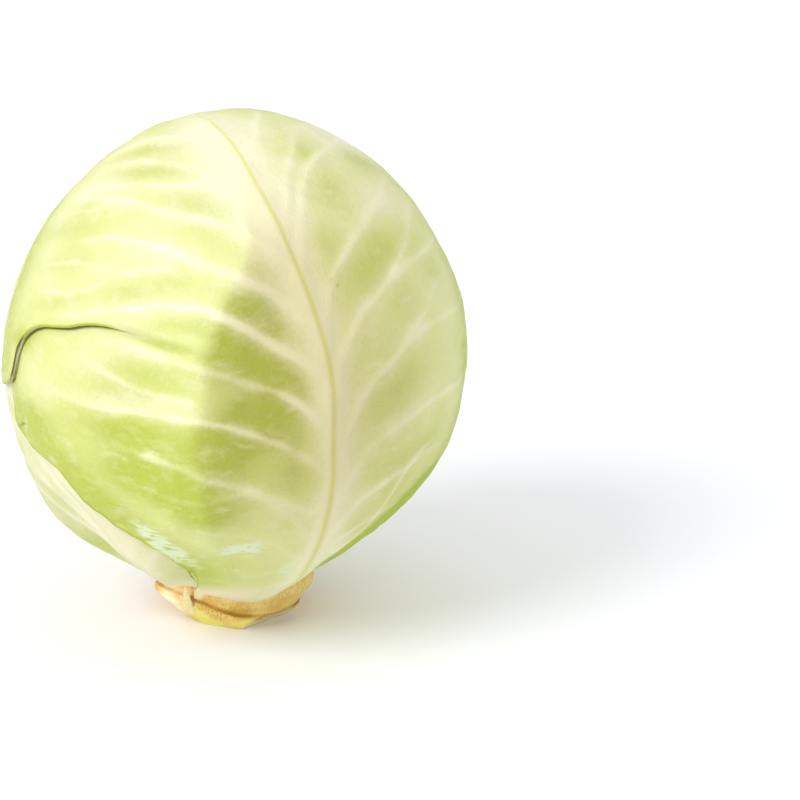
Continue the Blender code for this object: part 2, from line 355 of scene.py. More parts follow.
@dataclass(frozen=True)
class Vein:
    """A line through leaf-plane points; widths and height are millimetres.

    `width` holds at its start and `thin` at its end, and `tone` is its paleness. On a fold they
    are the widths of its left and right sides, seen along its course, and the roundness of its
    crest. On a scar `tone` is its strength.
    """

    points: tuple[Point2, ...]
    width: float = 1.5
    thin: float = 0.8
    height: float = 0.42
    tone: float = 0.8

    def path(self, step: int = 10) -> Array:
        """Smooth curve through the vein's points.

        Args:
            step: Points of the curve from one given point to the next.

        Returns:
            Leaf-plane points.
        """
        pts = np.array([self.points[0], *self.points, self.points[-1]], dtype=float)
        out = []
        for k in range(1, len(pts) - 2):
            t = np.linspace(0.0, 1.0, step, endpoint=False)[:, None]
            a, b, c, d = pts[k - 1], pts[k], pts[k + 1], pts[k + 2]
            out.append(0.5 * (2.0 * b + (c - a) * t + (2.0 * a - 5.0 * b + 4.0 * c - d) * t * t
                              + (3.0 * b - a - 3.0 * c + d) * t ** 3))
        out.append(pts[-2:-1])
        return np.concatenate(out)

    def measure(self, place: Placement, dirs: Array, radius: float) -> tuple[Array, Array]:
        """Place of directions beside the line.

        Args:
            place: Where the leaf's centre lies.
            dirs: Unit directions.
            radius: Radius of the head, which turns angles into lengths.

        Returns:
            Signed distances in millimetres, positive on the right of the line's course, and
            shares along it.
        """
        path = self.path()
        line = place.dirs_at(path[:, 0], path[:, 1])
        near = np.empty(len(dirs))
        share = np.empty(len(dirs))
        for start in range(0, len(dirs), CHUNK):
            part = slice(start, start + CHUNK)
            near[part], share[part] = self._closest(dirs[part], line)
        return near * radius / MM, share

    @staticmethod
    def _closest(dirs: Array, line: Array) -> tuple[Array, Array]:
        """Nearest place on a polyline on the unit sphere.

        Args:
            dirs: Unit directions.
            line: Points of the polyline.

        Returns:
            Signed distances in radians and shares along the polyline.
        """
        where = (dirs @ line.T).argmax(axis=1)
        best = np.full(len(dirs), 9.0)
        side = np.ones(len(dirs))
        share = np.zeros(len(dirs))
        for step in (-1, 0):
            first = np.clip(where + step, 0, len(line) - 2)
            a, b = line[first], line[first + 1]
            ab = b - a
            t = np.einsum("ij,ij->i", dirs - a, ab) / np.einsum("ij,ij->i", ab, ab)
            t = np.clip(t, 0.0, 1.0)
            gap = np.linalg.norm(dirs - a - t[:, None] * ab, axis=1)
            nearer = gap < best
            best = np.where(nearer, gap, best)
            share = np.where(nearer, (first + t) / (len(line) - 1), share)
            turn = np.einsum("ij,ij->i", np.cross(ab, a), dirs)
            side = np.where(nearer, np.sign(turn), side)
        return best * side, share


@dataclass(frozen=True)
class Midrib:
    """A leaf's midrib from base to tip, with its flanks and the pale tissue beside it.

    Heights and widths are millimetres. The pale widths are pairs of share along and width.
    """

    line: Vein
    height: float = 1.4
    flank_left: float = 6.0
    flank_right: float = 4.5
    crest: float = 0.9
    crest_height: float = 0.06
    pale_left: tuple[Point2, ...] = ((0.0, 12.0), (0.3, 6.0), (0.55, 7.0), (0.8, 12.0), (1.0, 15.0))
    pale_right: tuple[Point2, ...] = ((0.0, 9.0), (0.3, 8.0), (0.55, 6.0), (0.8, 9.0), (1.0, 12.0))
    paleness: float = 0.85


@dataclass(frozen=True)
class Patch:
    """A soft oval patch in the leaf plane, or on the stump's azimuth and height."""

    x: float
    y: float
    width: float
    height: float
    strength: float = 1.0
    turn: float = 0.0

    def mask(self, x: Array, y: Array) -> Array:
        """Strength of the patch.

        Args:
            x: Places across.
            y: Places upwards.

        Returns:
            One strength per place.
        """
        turn = math.radians(self.turn)
        u = (x - self.x) * math.cos(turn) + (y - self.y) * math.sin(turn)
        v = (y - self.y) * math.cos(turn) - (x - self.x) * math.sin(turn)
        return self.strength * bell(np.hypot(u / self.width, v / self.height))


@dataclass(frozen=True)
class Slit:
    """A tear in from the left margin; the lobe above it lies over the lobe below.

    `edge` holds pairs of distance from the leaf's centre and bearing of the upper lip.
    """

    start: float = 46.0
    margin: float = 92.0
    opening: float = 10.0
    edge: tuple[Point2, ...] = ((40.0, 163.6), (45.5, 162.6), (48.4, 162.0), (52.0, 161.7),
                                (56.4, 161.8), (61.0, 162.6), (65.0, 163.7), (69.0, 164.2),
                                (75.6, 164.8), (80.0, 166.2), (83.5, 168.4), (86.0, 171.2),
                                (88.0, 174.6), (90.5, 177.4), (95.0, 179.4), (110.0, 180.0))
    lift: float = 1.3 * MM
    drop: float = 1.1 * MM
    overlap: float = 2.6
    widen_from: float = 80.0
    widen_over: float = 12.0
    fade_above: float = 12.0
    fade_below: float = 6.0
    lip_rim: float = 0.9
    lip_shade: float = 0.55
    flap: float = 6.0
    flap_at: float = 173.5
    flap_half: float = 8.0

    def start_share(self) -> float:
        """Share of the reach where the tear starts."""
        return self.start / self.margin

    def run(self, rho: Array) -> Array:
        """How far the tear is open: 0 at its start, 1 further out."""
        return smooth((rho - self.start) / self.opening)

    def slide(self, rho: Array) -> Array:
        """Turn of the upper lip over the lower.

        Args:
            rho: Distances from the leaf's centre.

        Returns:
            One turn per distance, in degrees of bearing.
        """
        widen = 1.0 + smooth((rho - self.widen_from) / self.widen_over)
        spread = self.overlap * self.run(rho) * widen
        return spread / np.maximum(np.sin(np.radians(rho)), 0.3)

    def cut(self, rho: Array) -> Array:
        """Bearing of the cut in the flat sheet, before the upper lip slides down."""
        inside = np.clip(rho, self.edge[0][0], self.edge[-1][0])
        return course(self.edge, inside) - self.slide(rho)

    def extra(self, bearing: Array, side: Array, share: Array) -> Array:
        """Added reach of the flap at the upper lobe's corner.

        Args:
            bearing: Bearings of the vertices.
            side: Side of the slit of every vertex.
            share: Share of the reach of every vertex.

        Returns:
            One added reach per vertex.
        """
        grow = smooth((share - 0.5) / 0.5)
        return np.where(side > 0.0, self.flap * bell((bearing - self.flap_at) / self.flap_half)
                        * grow, 0.0)


@dataclass(frozen=True)
class DiscSheet:
    """A square grid of points mapped to a disc, with an optional cut along its left radius."""

    cells: int
    cut_from: float | None = None

    def layout(self) -> tuple[Array, Array, Array, Array]:
        """Grid layout.

        Returns:
            Radius (0 to 1), angle (degrees), side of the cut (+1 above, -1 below) of every
            vertex, and the quads as rows of vertex numbers.
        """
        count = self.cells + 1
        line = np.linspace(-1.0, 1.0, count)
        a, b = np.meshgrid(line, line)
        wide = np.abs(a) >= np.abs(b)
        with np.errstate(divide="ignore", invalid="ignore"):
            angle = np.where(wide, 45.0 * b / a, 90.0 - 45.0 * a / b)
        angle = np.nan_to_num(angle)
        radius = np.where(wide, a, b)
        angle = np.where(radius < 0.0, angle + 180.0, angle) % 360.0
        radius = np.abs(radius).ravel()
        angle = angle.ravel()
        side = np.where(b.ravel() > 0.0, 1.0, -1.0)
        number = np.arange(count * count).reshape(count, count)
        above = number.copy()
        if self.cut_from is not None:
            extra = self._cut_columns()
            middle = self.cells // 2
            above[middle, :extra] = count * count + np.arange(extra)
            radius = np.concatenate([radius, radius[number[middle, :extra]]])
            angle = np.concatenate([angle, angle[number[middle, :extra]]])
            side = np.concatenate([side, np.ones(extra)])
        return radius, angle, side, self._quads(number, above)

    def _quads(self, number: Array, above: Array) -> Array:
        """Quads of the grid; the diagonal from their first corner points at the disc's centre.

        Args:
            number: Vertex numbers as seen from below the cut.
            above: Vertex numbers as seen from above the cut.

        Returns:
            Four vertex numbers per row.
        """
        middle = self.cells // 2
        quads = []
        for row in range(self.cells):
            low = above[row] if row >= middle else number[row]
            high = number[row + 1]
            quad = np.stack([low[:-1], low[1:], high[1:], high[:-1]], axis=1)
            crossed = (np.arange(self.cells) < middle) != (row < middle)
            quad[crossed] = np.roll(quad[crossed], -1, axis=1)
            quads.append(quad)
        return np.concatenate(quads)

    def _cut_columns(self) -> int:
        """Number of grid columns that the cut separates."""
        return int(round((1.0 - self.cut_from) * self.cells / 2 / 4)) * 4

    def loop(self) -> Array:
        """Edge of the sheet.

        Returns:
            Vertex numbers round the edge, in order, down both lips of the cut.
        """
        count = self.cells + 1
        number = np.arange(count * count).reshape(count, count)
        middle = self.cells // 2
        parts = [number[0, :-1], number[:-1, -1], number[-1, :0:-1]]
        if self.cut_from is None:
            parts.append(number[:0:-1, 0])
            return np.concatenate(parts)
        extra = self._cut_columns()
        lip = count * count + np.arange(extra)
        parts.append(number[:middle:-1, 0])
        parts.append(lip)
        parts.append(number[middle, extra:0:-1])
        parts.append(number[middle:0:-1, 0])
        return np.concatenate(parts)


def make_mesh(name: str, points: Array, quads: Array, tris: Array) -> bpy.types.Object:
    """Link a new smooth-shaded mesh object.

    Args:
        name: Name of the object and its mesh.
        points: Vertex positions.
        quads: Four vertex numbers per row.
        tris: Three vertex numbers per row.

    Returns:
        The new object.
    """
    mesh = bpy.data.meshes.new(name)
    faces = quads.tolist() + tris.tolist()
    mesh.from_pydata(points.tolist(), [], faces)
    mesh.update()
    mesh.shade_smooth()
    obj = bpy.data.objects.new(name, mesh)
    bpy.context.scene.collection.objects.link(obj)
    return obj


def put_marks(obj: bpy.types.Object, marks: dict[Mark, Array]) -> None:
    """Store per-vertex values on a mesh.

    Args:
        obj: The mesh object.
        marks: Values by mark, one per vertex.
    """
    for mark, values in marks.items():
        layer = obj.data.attributes.new(mark.value, "FLOAT", "POINT")
        layer.data.foreach_set("value", np.ascontiguousarray(values, dtype=np.float32))


def bake_modifiers(obj: bpy.types.Object) -> None:
    """Replace an object's mesh with the result of its modifiers and remove them.

    Args:
        obj: The mesh object.
    """
    depsgraph = bpy.context.evaluated_depsgraph_get()
    mesh = bpy.data.meshes.new_from_object(obj.evaluated_get(depsgraph))
    obj.modifiers.clear()
    old = obj.data
    obj.data = mesh
    bpy.data.meshes.remove(old)
    mesh.name = obj.name
    mesh.shade_smooth()


class NodeKit:
    """Short ways to add and link nodes in one node tree."""

    def __init__(self, tree: bpy.types.NodeTree) -> None:
        """Keep the tree that nodes are added to."""
        self.tree = tree

    def add(self, kind: str, **settings: object) -> bpy.types.Node:
        """Add a node.

        Args:
            kind: Type name of the node.
            settings: Its properties by name.

        Returns:
            The new node.
        """
        node = self.tree.nodes.new(kind)
        for key, value in settings.items():
            setattr(node, key, value)
        return node

    def feed(self, node: bpy.types.Node, **inputs: object) -> None:
        """Set or link a node's inputs by name; underscores stand for spaces."""
        for key, value in inputs.items():
            self.put(node.inputs[key.replace("_", " ")], value)

    def put(self, socket: bpy.types.NodeSocket, value: object) -> None:
        """Link an output to a socket, or set the socket's own value.

        Args:
            socket: The input.
            value: An output socket, a colour, a vector or a number.
        """
        if isinstance(value, bpy.types.NodeSocket):
            self.tree.links.new(value, socket)
        elif isinstance(value, tuple) and len(value) == 3 and socket.type == "RGBA":
            socket.default_value = (*value, 1.0)
        else:
            socket.default_value = value

    def math(self, operation: str, *values: object, clamp: bool = False) -> bpy.types.NodeSocket:
        """Output of a math node.

        Args:
            operation: Name of the operation.
            values: Up to three values or sockets.
            clamp: Whether the result is held within 0 to 1.

        Returns:
            The output socket.
        """
        node = self.add("ShaderNodeMath", operation=operation, use_clamp=clamp)
        for socket, value in zip(node.inputs, values):
            self.put(socket, value)
        return node.outputs[0]

    def mark(self, mark: Mark) -> bpy.types.NodeSocket:
        """A vertex value, in a material tree."""
        return self.add("ShaderNodeAttribute", attribute_name=mark.value).outputs["Fac"]

    def noise(self, vector: object, scale: float, detail: float = 3.0,
              roughness: float = 0.55, seed: float = 0.0) -> bpy.types.NodeSocket:
        """Value of a 4-D noise texture.

        Args:
            vector: Place to read.
            scale: Noise cells per metre.
            detail: Octaves.
            roughness: Strength of the finer octaves.
            seed: Fixed seed.

        Returns:
            The output socket.
        """
        node = self.add("ShaderNodeTexNoise", noise_dimensions="4D")
        self.feed(node, Vector=vector, Scale=scale, Detail=detail, Roughness=roughness, W=seed)
        return node.outputs["Fac"]

    def mix(self, factor: object, first: object, second: object,
            blend: str = "MIX") -> bpy.types.NodeSocket:
        """Mix of two colours.

        Args:
            factor: Share of the second colour.
            first: First colour.
            second: Second colour.
            blend: Way of mixing.

        Returns:
            The output socket.
        """
        node = self.add("ShaderNodeMix", data_type="RGBA", blend_type=blend)
        self.put(node.inputs[0], factor)
        self.put(node.inputs[6], first)
        self.put(node.inputs[7], second)
        return node.outputs[2]

    def span(self, value: object, low: float, high: float,
             to_low: float = 0.0, to_high: float = 1.0) -> bpy.types.NodeSocket:
        """Clamped smooth remap of a value.

        Args:
            value: The value.
            low: Where the rise starts.
            high: Where it ends.
            to_low: Result at `low` and below.
            to_high: Result at `high` and above.

        Returns:
            The output socket.
        """
        node = self.add("ShaderNodeMapRange", interpolation_type="SMOOTHSTEP")
        self.put(node.inputs[0], value)
        for socket, number in zip(node.inputs[1:5], (low, high, to_low, to_high)):
            socket.default_value = number
        return node.outputs[0]

    def scaled(self, vector: object, scale: tuple[float, float, float]) -> bpy.types.NodeSocket:
        """A vector stretched along its axes.

        Args:
            vector: The vector.
            scale: Stretch along each axis.

        Returns:
            The output socket.
        """
        node = self.add("ShaderNodeMapping")
        self.put(node.inputs["Vector"], vector)
        node.inputs["Scale"].default_value = scale
        return node.outputs[0]

    def bump(self, shader: bpy.types.Node, height: object, strength: float,
             distance: float) -> None:
        """Give a shader fine relief.

        Args:
            shader: The shader.
            height: Height of the relief, as a socket.
            strength: Strength of the relief.
            distance: Depth of a height of 1.
        """
        node = self.add("ShaderNodeBump")
        self.feed(node, Strength=strength, Distance=distance, Height=height)
        self.feed(shader, Normal=node.outputs[0])

    def stored(self, mark: Mark) -> bpy.types.NodeSocket:
        """A stored vertex value, in a geometry tree.

        Args:
            mark: Which value.

        Returns:
            The output socket.
        """
        node = self.add("GeometryNodeInputNamedAttribute", data_type="FLOAT")
        node.inputs["Name"].default_value = mark.value
        return node.outputs["Attribute"]

    def finish(self, geometry: bpy.types.NodeSocket, material: bpy.types.NodeSocket) -> None:
        """End a geometry tree: realise its instances and set the material.

        Args:
            geometry: The finished geometry.
            material: The tree's material input.
        """
        solid = self.add("GeometryNodeRealizeInstances")
        self.feed(solid, Geometry=geometry)
        paint = self.add("GeometryNodeSetMaterial")
        self.feed(paint, Geometry=solid.outputs[0], Material=material)
        self.put(self.add("NodeGroupOutput").inputs[0], paint.outputs[0])


def start_group(name: str, inputs: dict[str, str]) -> NodeKit:
    """Start a geometry node group that takes a mesh, the named inputs and a material.

    Args:
        name: Name of the group.
        inputs: Socket kind by the name of each input.

    Returns:
        A node kit on the group's tree.
    """
    tree = bpy.data.node_groups.new(name, "GeometryNodeTree")
    sockets = {"Geometry": "Geometry", **inputs, "Material": "Material"}
    for label, kind in sockets.items():
        tree.interface.new_socket(label, in_out="INPUT", socket_type=f"NodeSocket{kind}")
    tree.interface.new_socket("Geometry", in_out="OUTPUT", socket_type="NodeSocketGeometry")
    return NodeKit(tree)


def run_group(obj: bpy.types.Object, tree: bpy.types.NodeTree, values: dict[str, object]) -> None:
    """Run a geometry node group on an object and keep the result as its mesh.

    Args:
        obj: The mesh object.
        tree: The node group.
        values: Values by the names of the group's inputs.
    """
    modifier = obj.modifiers.new(tree.name, "NODES")
    modifier.node_group = tree
    for item in tree.interface.items_tree:
        if item.in_out == "INPUT" and item.name in values:
            modifier[item.identifier] = values[item.name]
    bake_modifiers(obj)


def new_material(name: str) -> tuple[bpy.types.Material, NodeKit, bpy.types.Node]:
    """Start a node-based material.

    Args:
        name: Name of the material.

    Returns:
        The material, a node kit on its tree, and its Principled shader.
    """
    material = bpy.data.materials.new(name)
    material.use_nodes = True
    return material, NodeKit(material.node_tree), material.node_tree.nodes["Principled BSDF"]


@dataclass(frozen=True)
class LeafFinish:
    """Colours and surface of a leaf's outer skin."""

    name: str
    blade: Colour = linear(221, 224, 160)
    fresh: Colour = linear(208, 214, 130)
    deep: Colour = linear(176, 187, 68)
    pale: Colour = linear(236, 234, 196)
    rim: Colour = linear(160, 178, 10)
    keel: Colour = linear(208, 204, 92)
    base: Colour = linear(236, 222, 186)
    scrape: Colour = linear(212, 222, 184)
    # dark olive of the nicks, also used for the painted shadow line under the slit's lip
    scar: Colour = linear(112, 112, 34)
    # painted shade: multiplied over the side of the leaf turned away from the key light
    warm: Colour = (0.78, 0.725, 0.635)
    spot: Colour = linear(176, 150, 84)
    roughness: float = 0.46
    cloud_scale: float = 26.0
    mottle_scale: tuple[float, float, float] = (90.0, 90.0, 165.0)
    grain_scale: float = 620.0
    speckle_scale: float = 1300.0
    net_scale: float = 190.0
    streak_scale: tuple[float, float, float] = (160.0, 160.0, 620.0)
    spot_scale: float = 210.0
    relief: float = 0.22 * MM
    seed: float = 1.0

    def material(self) -> bpy.types.Material:
        """Build the leaf skin: mottled green blade, broken pale veins, rims and scrapes.

        Returns:
            The material.
        """
        material, kit, shader = new_material(self.name)
        place = kit.add("ShaderNodeTexCoord").outputs["Object"]
        mottle = kit.noise(kit.scaled(place, self.mottle_scale), 1.0, 4.0, 0.6, self.seed + 3.0)
        grain = kit.noise(place, self.grain_scale, 3.0, 0.6, self.seed + 5.0)
        speckle = kit.noise(place, self.speckle_scale, 2.0, 0.7, self.seed + 7.0)
        netting = self._netting(kit, place)
        streak = kit.noise(kit.scaled(place, self.streak_scale), 1.0, 3.0, 0.6, 9.0)
        worn = kit.math("MULTIPLY", kit.mark(Mark.SCRAPE), kit.span(streak, 0.3, 0.62))
        ragged = kit.math("SUBTRACT", mottle, 0.5)

        tone = self._blade(kit, place, mottle, netting)
        broken = kit.math("ADD", ragged, kit.math("SUBTRACT", grain, 0.5))
        pale = kit.math("MULTIPLY_ADD", broken, 0.34, kit.mark(Mark.PALE))
        tone = kit.mix(kit.span(pale, 0.06, 0.92), tone, self.pale)
        tone = kit.mix(kit.span(speckle, 0.55, 0.8, 0.0, 0.3), tone, self.pale)
        tone = kit.mix(kit.span(speckle, 0.25, 0.45, 0.16, 0.0), tone, self.deep)
        keel = kit.math("MULTIPLY", kit.mark(Mark.KEEL), 0.65, clamp=True)
        tone = kit.mix(keel, tone, self.keel)
        # painted shade on the side of the leaf turned away from the key light
        tone = kit.mix(kit.mark(Mark.PAINTED_SHADE), tone, self.warm, "MULTIPLY")
        tone = kit.mix(kit.span(kit.mark(Mark.BASE), 0.0, 1.0), tone, self.base)
        rim = kit.math("MULTIPLY_ADD", ragged, 0.5, kit.mark(Mark.RIM))
        tone = kit.mix(kit.span(rim, 0.15, 0.95), tone, self.rim)
        # nicks, and the painted shadow line under the slit's upper lip
        tone = kit.mix(kit.span(kit.mark(Mark.SCAR_AND_SHADOW), 0.0, 1.0), tone, self.scar)
        tone = kit.mix(kit.span(worn, 0.12, 0.6), tone, self.scrape)
        tone = kit.mix(self._spots(kit, place), tone, self.spot)
        kit.feed(shader, Base_Color=tone, IOR=1.42, Subsurface_Weight=0.22,
                 Subsurface_Scale=4.0 * MM, Coat_Weight=0.05, Coat_Roughness=0.38)
        kit.feed(shader, Subsurface_Radius=(0.9, 1.0, 0.35))
        rough = kit.span(mottle, 0.2, 0.8, self.roughness - 0.05, self.roughness + 0.08)
        kit.feed(shader, Roughness=rough)
        height = kit.math("MULTIPLY_ADD", netting, 0.35, kit.math("MULTIPLY", grain, 0.5))
        for part, share in ((mottle, 1.2), (speckle, 0.7), (worn, -1.2)):
            height = kit.math("MULTIPLY_ADD", part, share, height)
        kit.bump(shader, height, 0.5, self.relief)
        return material

    def _netting(self, kit: NodeKit, place: bpy.types.NodeSocket) -> bpy.types.NodeSocket:
        """Fine net of the smallest veins.

        Args:
            kit: Node kit of the material.
            place: Object coordinates.

        Returns:
            1 on the net's lines, 0 between them.
        """
        warp = kit.add("ShaderNodeTexNoise")
        kit.feed(warp, Vector=place, Scale=90.0, Detail=2.0)
        bent = kit.add("ShaderNodeMix", data_type="VECTOR")
        kit.put(bent.inputs[0], 0.012)
        kit.put(bent.inputs[4], place)
        kit.put(bent.inputs[5], warp.outputs["Color"])
        cells = kit.add("ShaderNodeTexVoronoi", feature="DISTANCE_TO_EDGE")
        kit.feed(cells, Vector=bent.outputs[1], Scale=self.net_scale)
        return kit.span(cells.outputs["Distance"], 0.0, 0.12, 1.0, 0.0)

    def _blade(self, kit: NodeKit, place: bpy.types.NodeSocket, mottle: bpy.types.NodeSocket,
               netting: bpy.types.NodeSocket) -> bpy.types.NodeSocket:
        """Colour of the blade between the veins.

        Args:
            kit: Node kit of the material.
            place: Object coordinates.
            mottle: Uneven tone of the tissue.
            netting: Net of the smallest veins.

        Returns:
            The colour.
        """
        cloud = kit.noise(place, self.cloud_scale, 3.0, 0.55, self.seed)
        tone = kit.mix(kit.span(cloud, 0.35, 0.68), self.blade, self.fresh)
        deep = kit.math("MULTIPLY", kit.mark(Mark.DEEP), kit.span(mottle, 0.25, 0.7, 0.8, 1.7))
        tone = kit.mix(kit.math("MULTIPLY", deep, 1.0, clamp=True), tone, self.deep)
        fleck = kit.math("MULTIPLY", kit.span(mottle, 0.5, 0.75), 0.4)
        tone = kit.mix(fleck, tone, self.pale)
        return kit.mix(kit.math("MULTIPLY", netting, 0.03), tone, self.pale)

    def _spots(self, kit: NodeKit, place: bpy.types.NodeSocket) -> bpy.types.NodeSocket:
        """Rare small brown spots.

        Args:
            kit: Node kit of the material.
            place: Object coordinates.

        Returns:
            Strength of the spots.
        """
        speck = kit.add("ShaderNodeTexVoronoi", feature="F1")
        kit.feed(speck, Vector=place, Scale=self.spot_scale)
        spots = kit.span(speck.outputs["Distance"], 0.10, 0.2, 1.0, 0.0)
        rare = kit.span(kit.noise(place, 34.0, 1.0, 0.5, 17.0), 0.62, 0.72)
        return kit.math("MULTIPLY", kit.math("MULTIPLY", spots, rare), 0.35)


@dataclass(frozen=True)
class InnerFinish:
    """Soft yellow-white tissue of the leaves and heart inside the head."""

    name: str
    light: Colour = linear(240, 237, 196)
    warm: Colour = linear(222, 214, 146)
    cloud_scale: float = 38.0
    fine_scale: float = 240.0
    seed: float = 4.0

    def material(self) -> bpy.types.Material:
        """Build the tissue: clouded colour, fine grain and a waxy skin.

        Returns:
            The material.
        """
        material, kit, shader = new_material(self.name)
        place = kit.add("ShaderNodeTexCoord").outputs["Object"]
        cloud = kit.noise(place, self.cloud_scale, 4.0, 0.6, self.seed)
        fine = kit.noise(place, self.fine_scale, 3.0, 0.6, self.seed + 2.0)
        tone = kit.mix(kit.span(cloud, 0.3, 0.7), self.light, self.warm)
        kit.feed(shader, Base_Color=tone, IOR=1.4, Subsurface_Weight=0.2,
                 Subsurface_Scale=3.0 * MM, Roughness=kit.span(fine, 0.2, 0.8, 0.4, 0.56))
        kit.bump(shader, fine, 0.5, 0.2 * MM)
        return material


@dataclass(frozen=True)
class StumpFinish:
    """Dry cut stem: tan bark, cream knife cuts, brown scar lines and fibre dots."""

    name: str
    tan: Colour = linear(233, 205, 114)
    ochre: Colour = linear(219, 175, 64)
    brown: Colour = linear(176, 128, 22)
    cream: Colour = linear(250, 238, 196)
    sap: Colour = linear(240, 228, 122)
    cloud_scale: float = 110.0
    strand_scale: tuple[float, float, float] = (1500.0, 1500.0, 160.0)
    dot_scale: tuple[float, float, float] = (1300.0, 1300.0, 800.0)
    speck_scale: float = 900.0
    relief: float = 0.3 * MM

    def material(self) -> bpy.types.Material:
        """Build the bark and its cuts.

        Returns:
            The material.
        """
        material, kit, shader = new_material(self.name)
        place = kit.add("ShaderNodeTexCoord").outputs["Object"]
        cloud = kit.noise(place, self.cloud_scale, 4.0, 0.6, 2.0)
        strand = kit.noise(kit.scaled(place, self.strand_scale), 1.0, 3.0, 0.65, 5.0)
        pits = kit.add("ShaderNodeTexVoronoi", feature="F1")
        kit.feed(pits, Vector=kit.scaled(place, self.dot_scale), Scale=1.0)
        dots = kit.math("MULTIPLY", kit.span(pits.outputs["Distance"], 0.2, 0.45, 1.0, 0.0),
                        kit.mark(Mark.FIBRE))
        tone = kit.mix(kit.span(cloud, 0.35, 0.65), self.tan, self.ochre)
        tone = kit.mix(kit.math("MULTIPLY", kit.span(strand, 0.35, 0.7), 0.3), tone, self.cream)
        tone = kit.mix(kit.math("MULTIPLY", dots, 0.6, clamp=True), tone, self.brown)
        ragged = kit.math("MULTIPLY", kit.math("SUBTRACT", strand, 0.5), 0.8)
        sap = kit.math("ADD", kit.mark(Mark.SAP), ragged)
        tone = kit.mix(kit.span(sap, 0.15, 0.8), tone, self.sap)
        pale = kit.math("ADD", kit.mark(Mark.PALE), ragged)
        tone = kit.mix(kit.span(pale, 0.1, 0.8), tone, self.cream)
        # brown scars and grooves, and the painted shadow band under the front leaf's foot
        scar = kit.math("MULTIPLY_ADD", ragged, 0.6, kit.mark(Mark.SCAR_AND_SHADOW))
        tone = kit.mix(kit.span(scar, 0.1, 1.1), tone, self.brown)
        tone = kit.mix(kit.span(kit.mark(Mark.CUT), 0.2, 0.8), tone, self.cream)
        speck = kit.span(kit.noise(place, self.speck_scale, 2.0, 0.6, 21.0), 0.66, 0.74)
        tone = kit.mix(kit.math("MULTIPLY", speck, 0.5), tone, self.ochre)
        kit.feed(shader, Base_Color=tone, IOR=1.45, Subsurface_Weight=0.1,
                 Subsurface_Scale=3.0 * MM, Roughness=kit.span(strand, 0.2, 0.8, 0.55, 0.78))
        kit.bump(shader, kit.math("MULTIPLY_ADD", dots, -0.6, strand), 0.8, self.relief)
        return material


@dataclass(frozen=True)
class ReliefNodes:
    """Geometry Nodes that raise a skin by its stored relief and by fine seeded wrinkles."""

    name: str = "SkinRelief"
    relief: float = 1.0 * MM
    wrinkle: float = 0.16 * MM
    wrinkle_scale: float = 75.0
    seed: float = 7.0

    def group(self) -> bpy.types.NodeTree:
        """Build the node group with its named inputs.

        Returns:
            The node group.
        """
        names = ("Relief Height", "Wrinkle Height", "Wrinkle Scale", "Seed", "Centre Height")
        kit = start_group(self.name, {name: "Float" for name in names})
        source = kit.add("NodeGroupInput").outputs
        place = kit.add("GeometryNodeInputPosition").outputs[0]
        centre = kit.add("ShaderNodeCombineXYZ")
        kit.feed(centre, Z=source["Centre Height"])
        out = kit.add("ShaderNodeVectorMath", operation="SUBTRACT")
        kit.put(out.inputs[0], place)
        kit.put(out.inputs[1], centre.outputs[0])
        away = kit.add("ShaderNodeVectorMath", operation="NORMALIZE")
        kit.put(away.inputs[0], out.outputs[0])
        noise = kit.add("ShaderNodeTexNoise", noise_dimensions="4D")
        kit.feed(noise, Vector=place, Scale=source["Wrinkle Scale"], W=source["Seed"], Detail=3.0)
        ripple = kit.math("MULTIPLY", kit.math("SUBTRACT", noise.outputs["Fac"], 0.5),
                          source["Wrinkle Height"])
        ripple = kit.math("MULTIPLY", ripple, kit.stored(Mark.SKIN))
        relief = kit.stored(Mark.RELIEF)
        rise = kit.math("MULTIPLY_ADD", relief, source["Relief Height"], ripple)
        push = kit.add("ShaderNodeVectorMath", operation="SCALE")
        kit.put(push.inputs[0], away.outputs[0])
        kit.put(push.inputs["Scale"], rise)
        shift = kit.add("GeometryNodeSetPosition")
        kit.feed(shift, Geometry=source["Geometry"], Offset=push.outputs[0])
        kit.finish(shift.outputs[0], source["Material"])
        return kit.tree

    def apply(self, obj: bpy.types.Object, material: bpy.types.Material,
              form: HeadForm) -> None:
        """Run the nodes on an object and keep the result as its mesh.

        Args:
            obj: The skin to raise.
            material: The material of the result.
            form: The head, for the centre that relief points away from.
        """
        tree = bpy.data.node_groups.get(self.name) or self.group()
        run_group(obj, tree, {
            "Relief Height": self.relief, "Wrinkle Height": self.wrinkle,
            "Wrinkle Scale": self.wrinkle_scale, "Seed": self.seed,
            "Centre Height": form.centre_z, "Material": material})


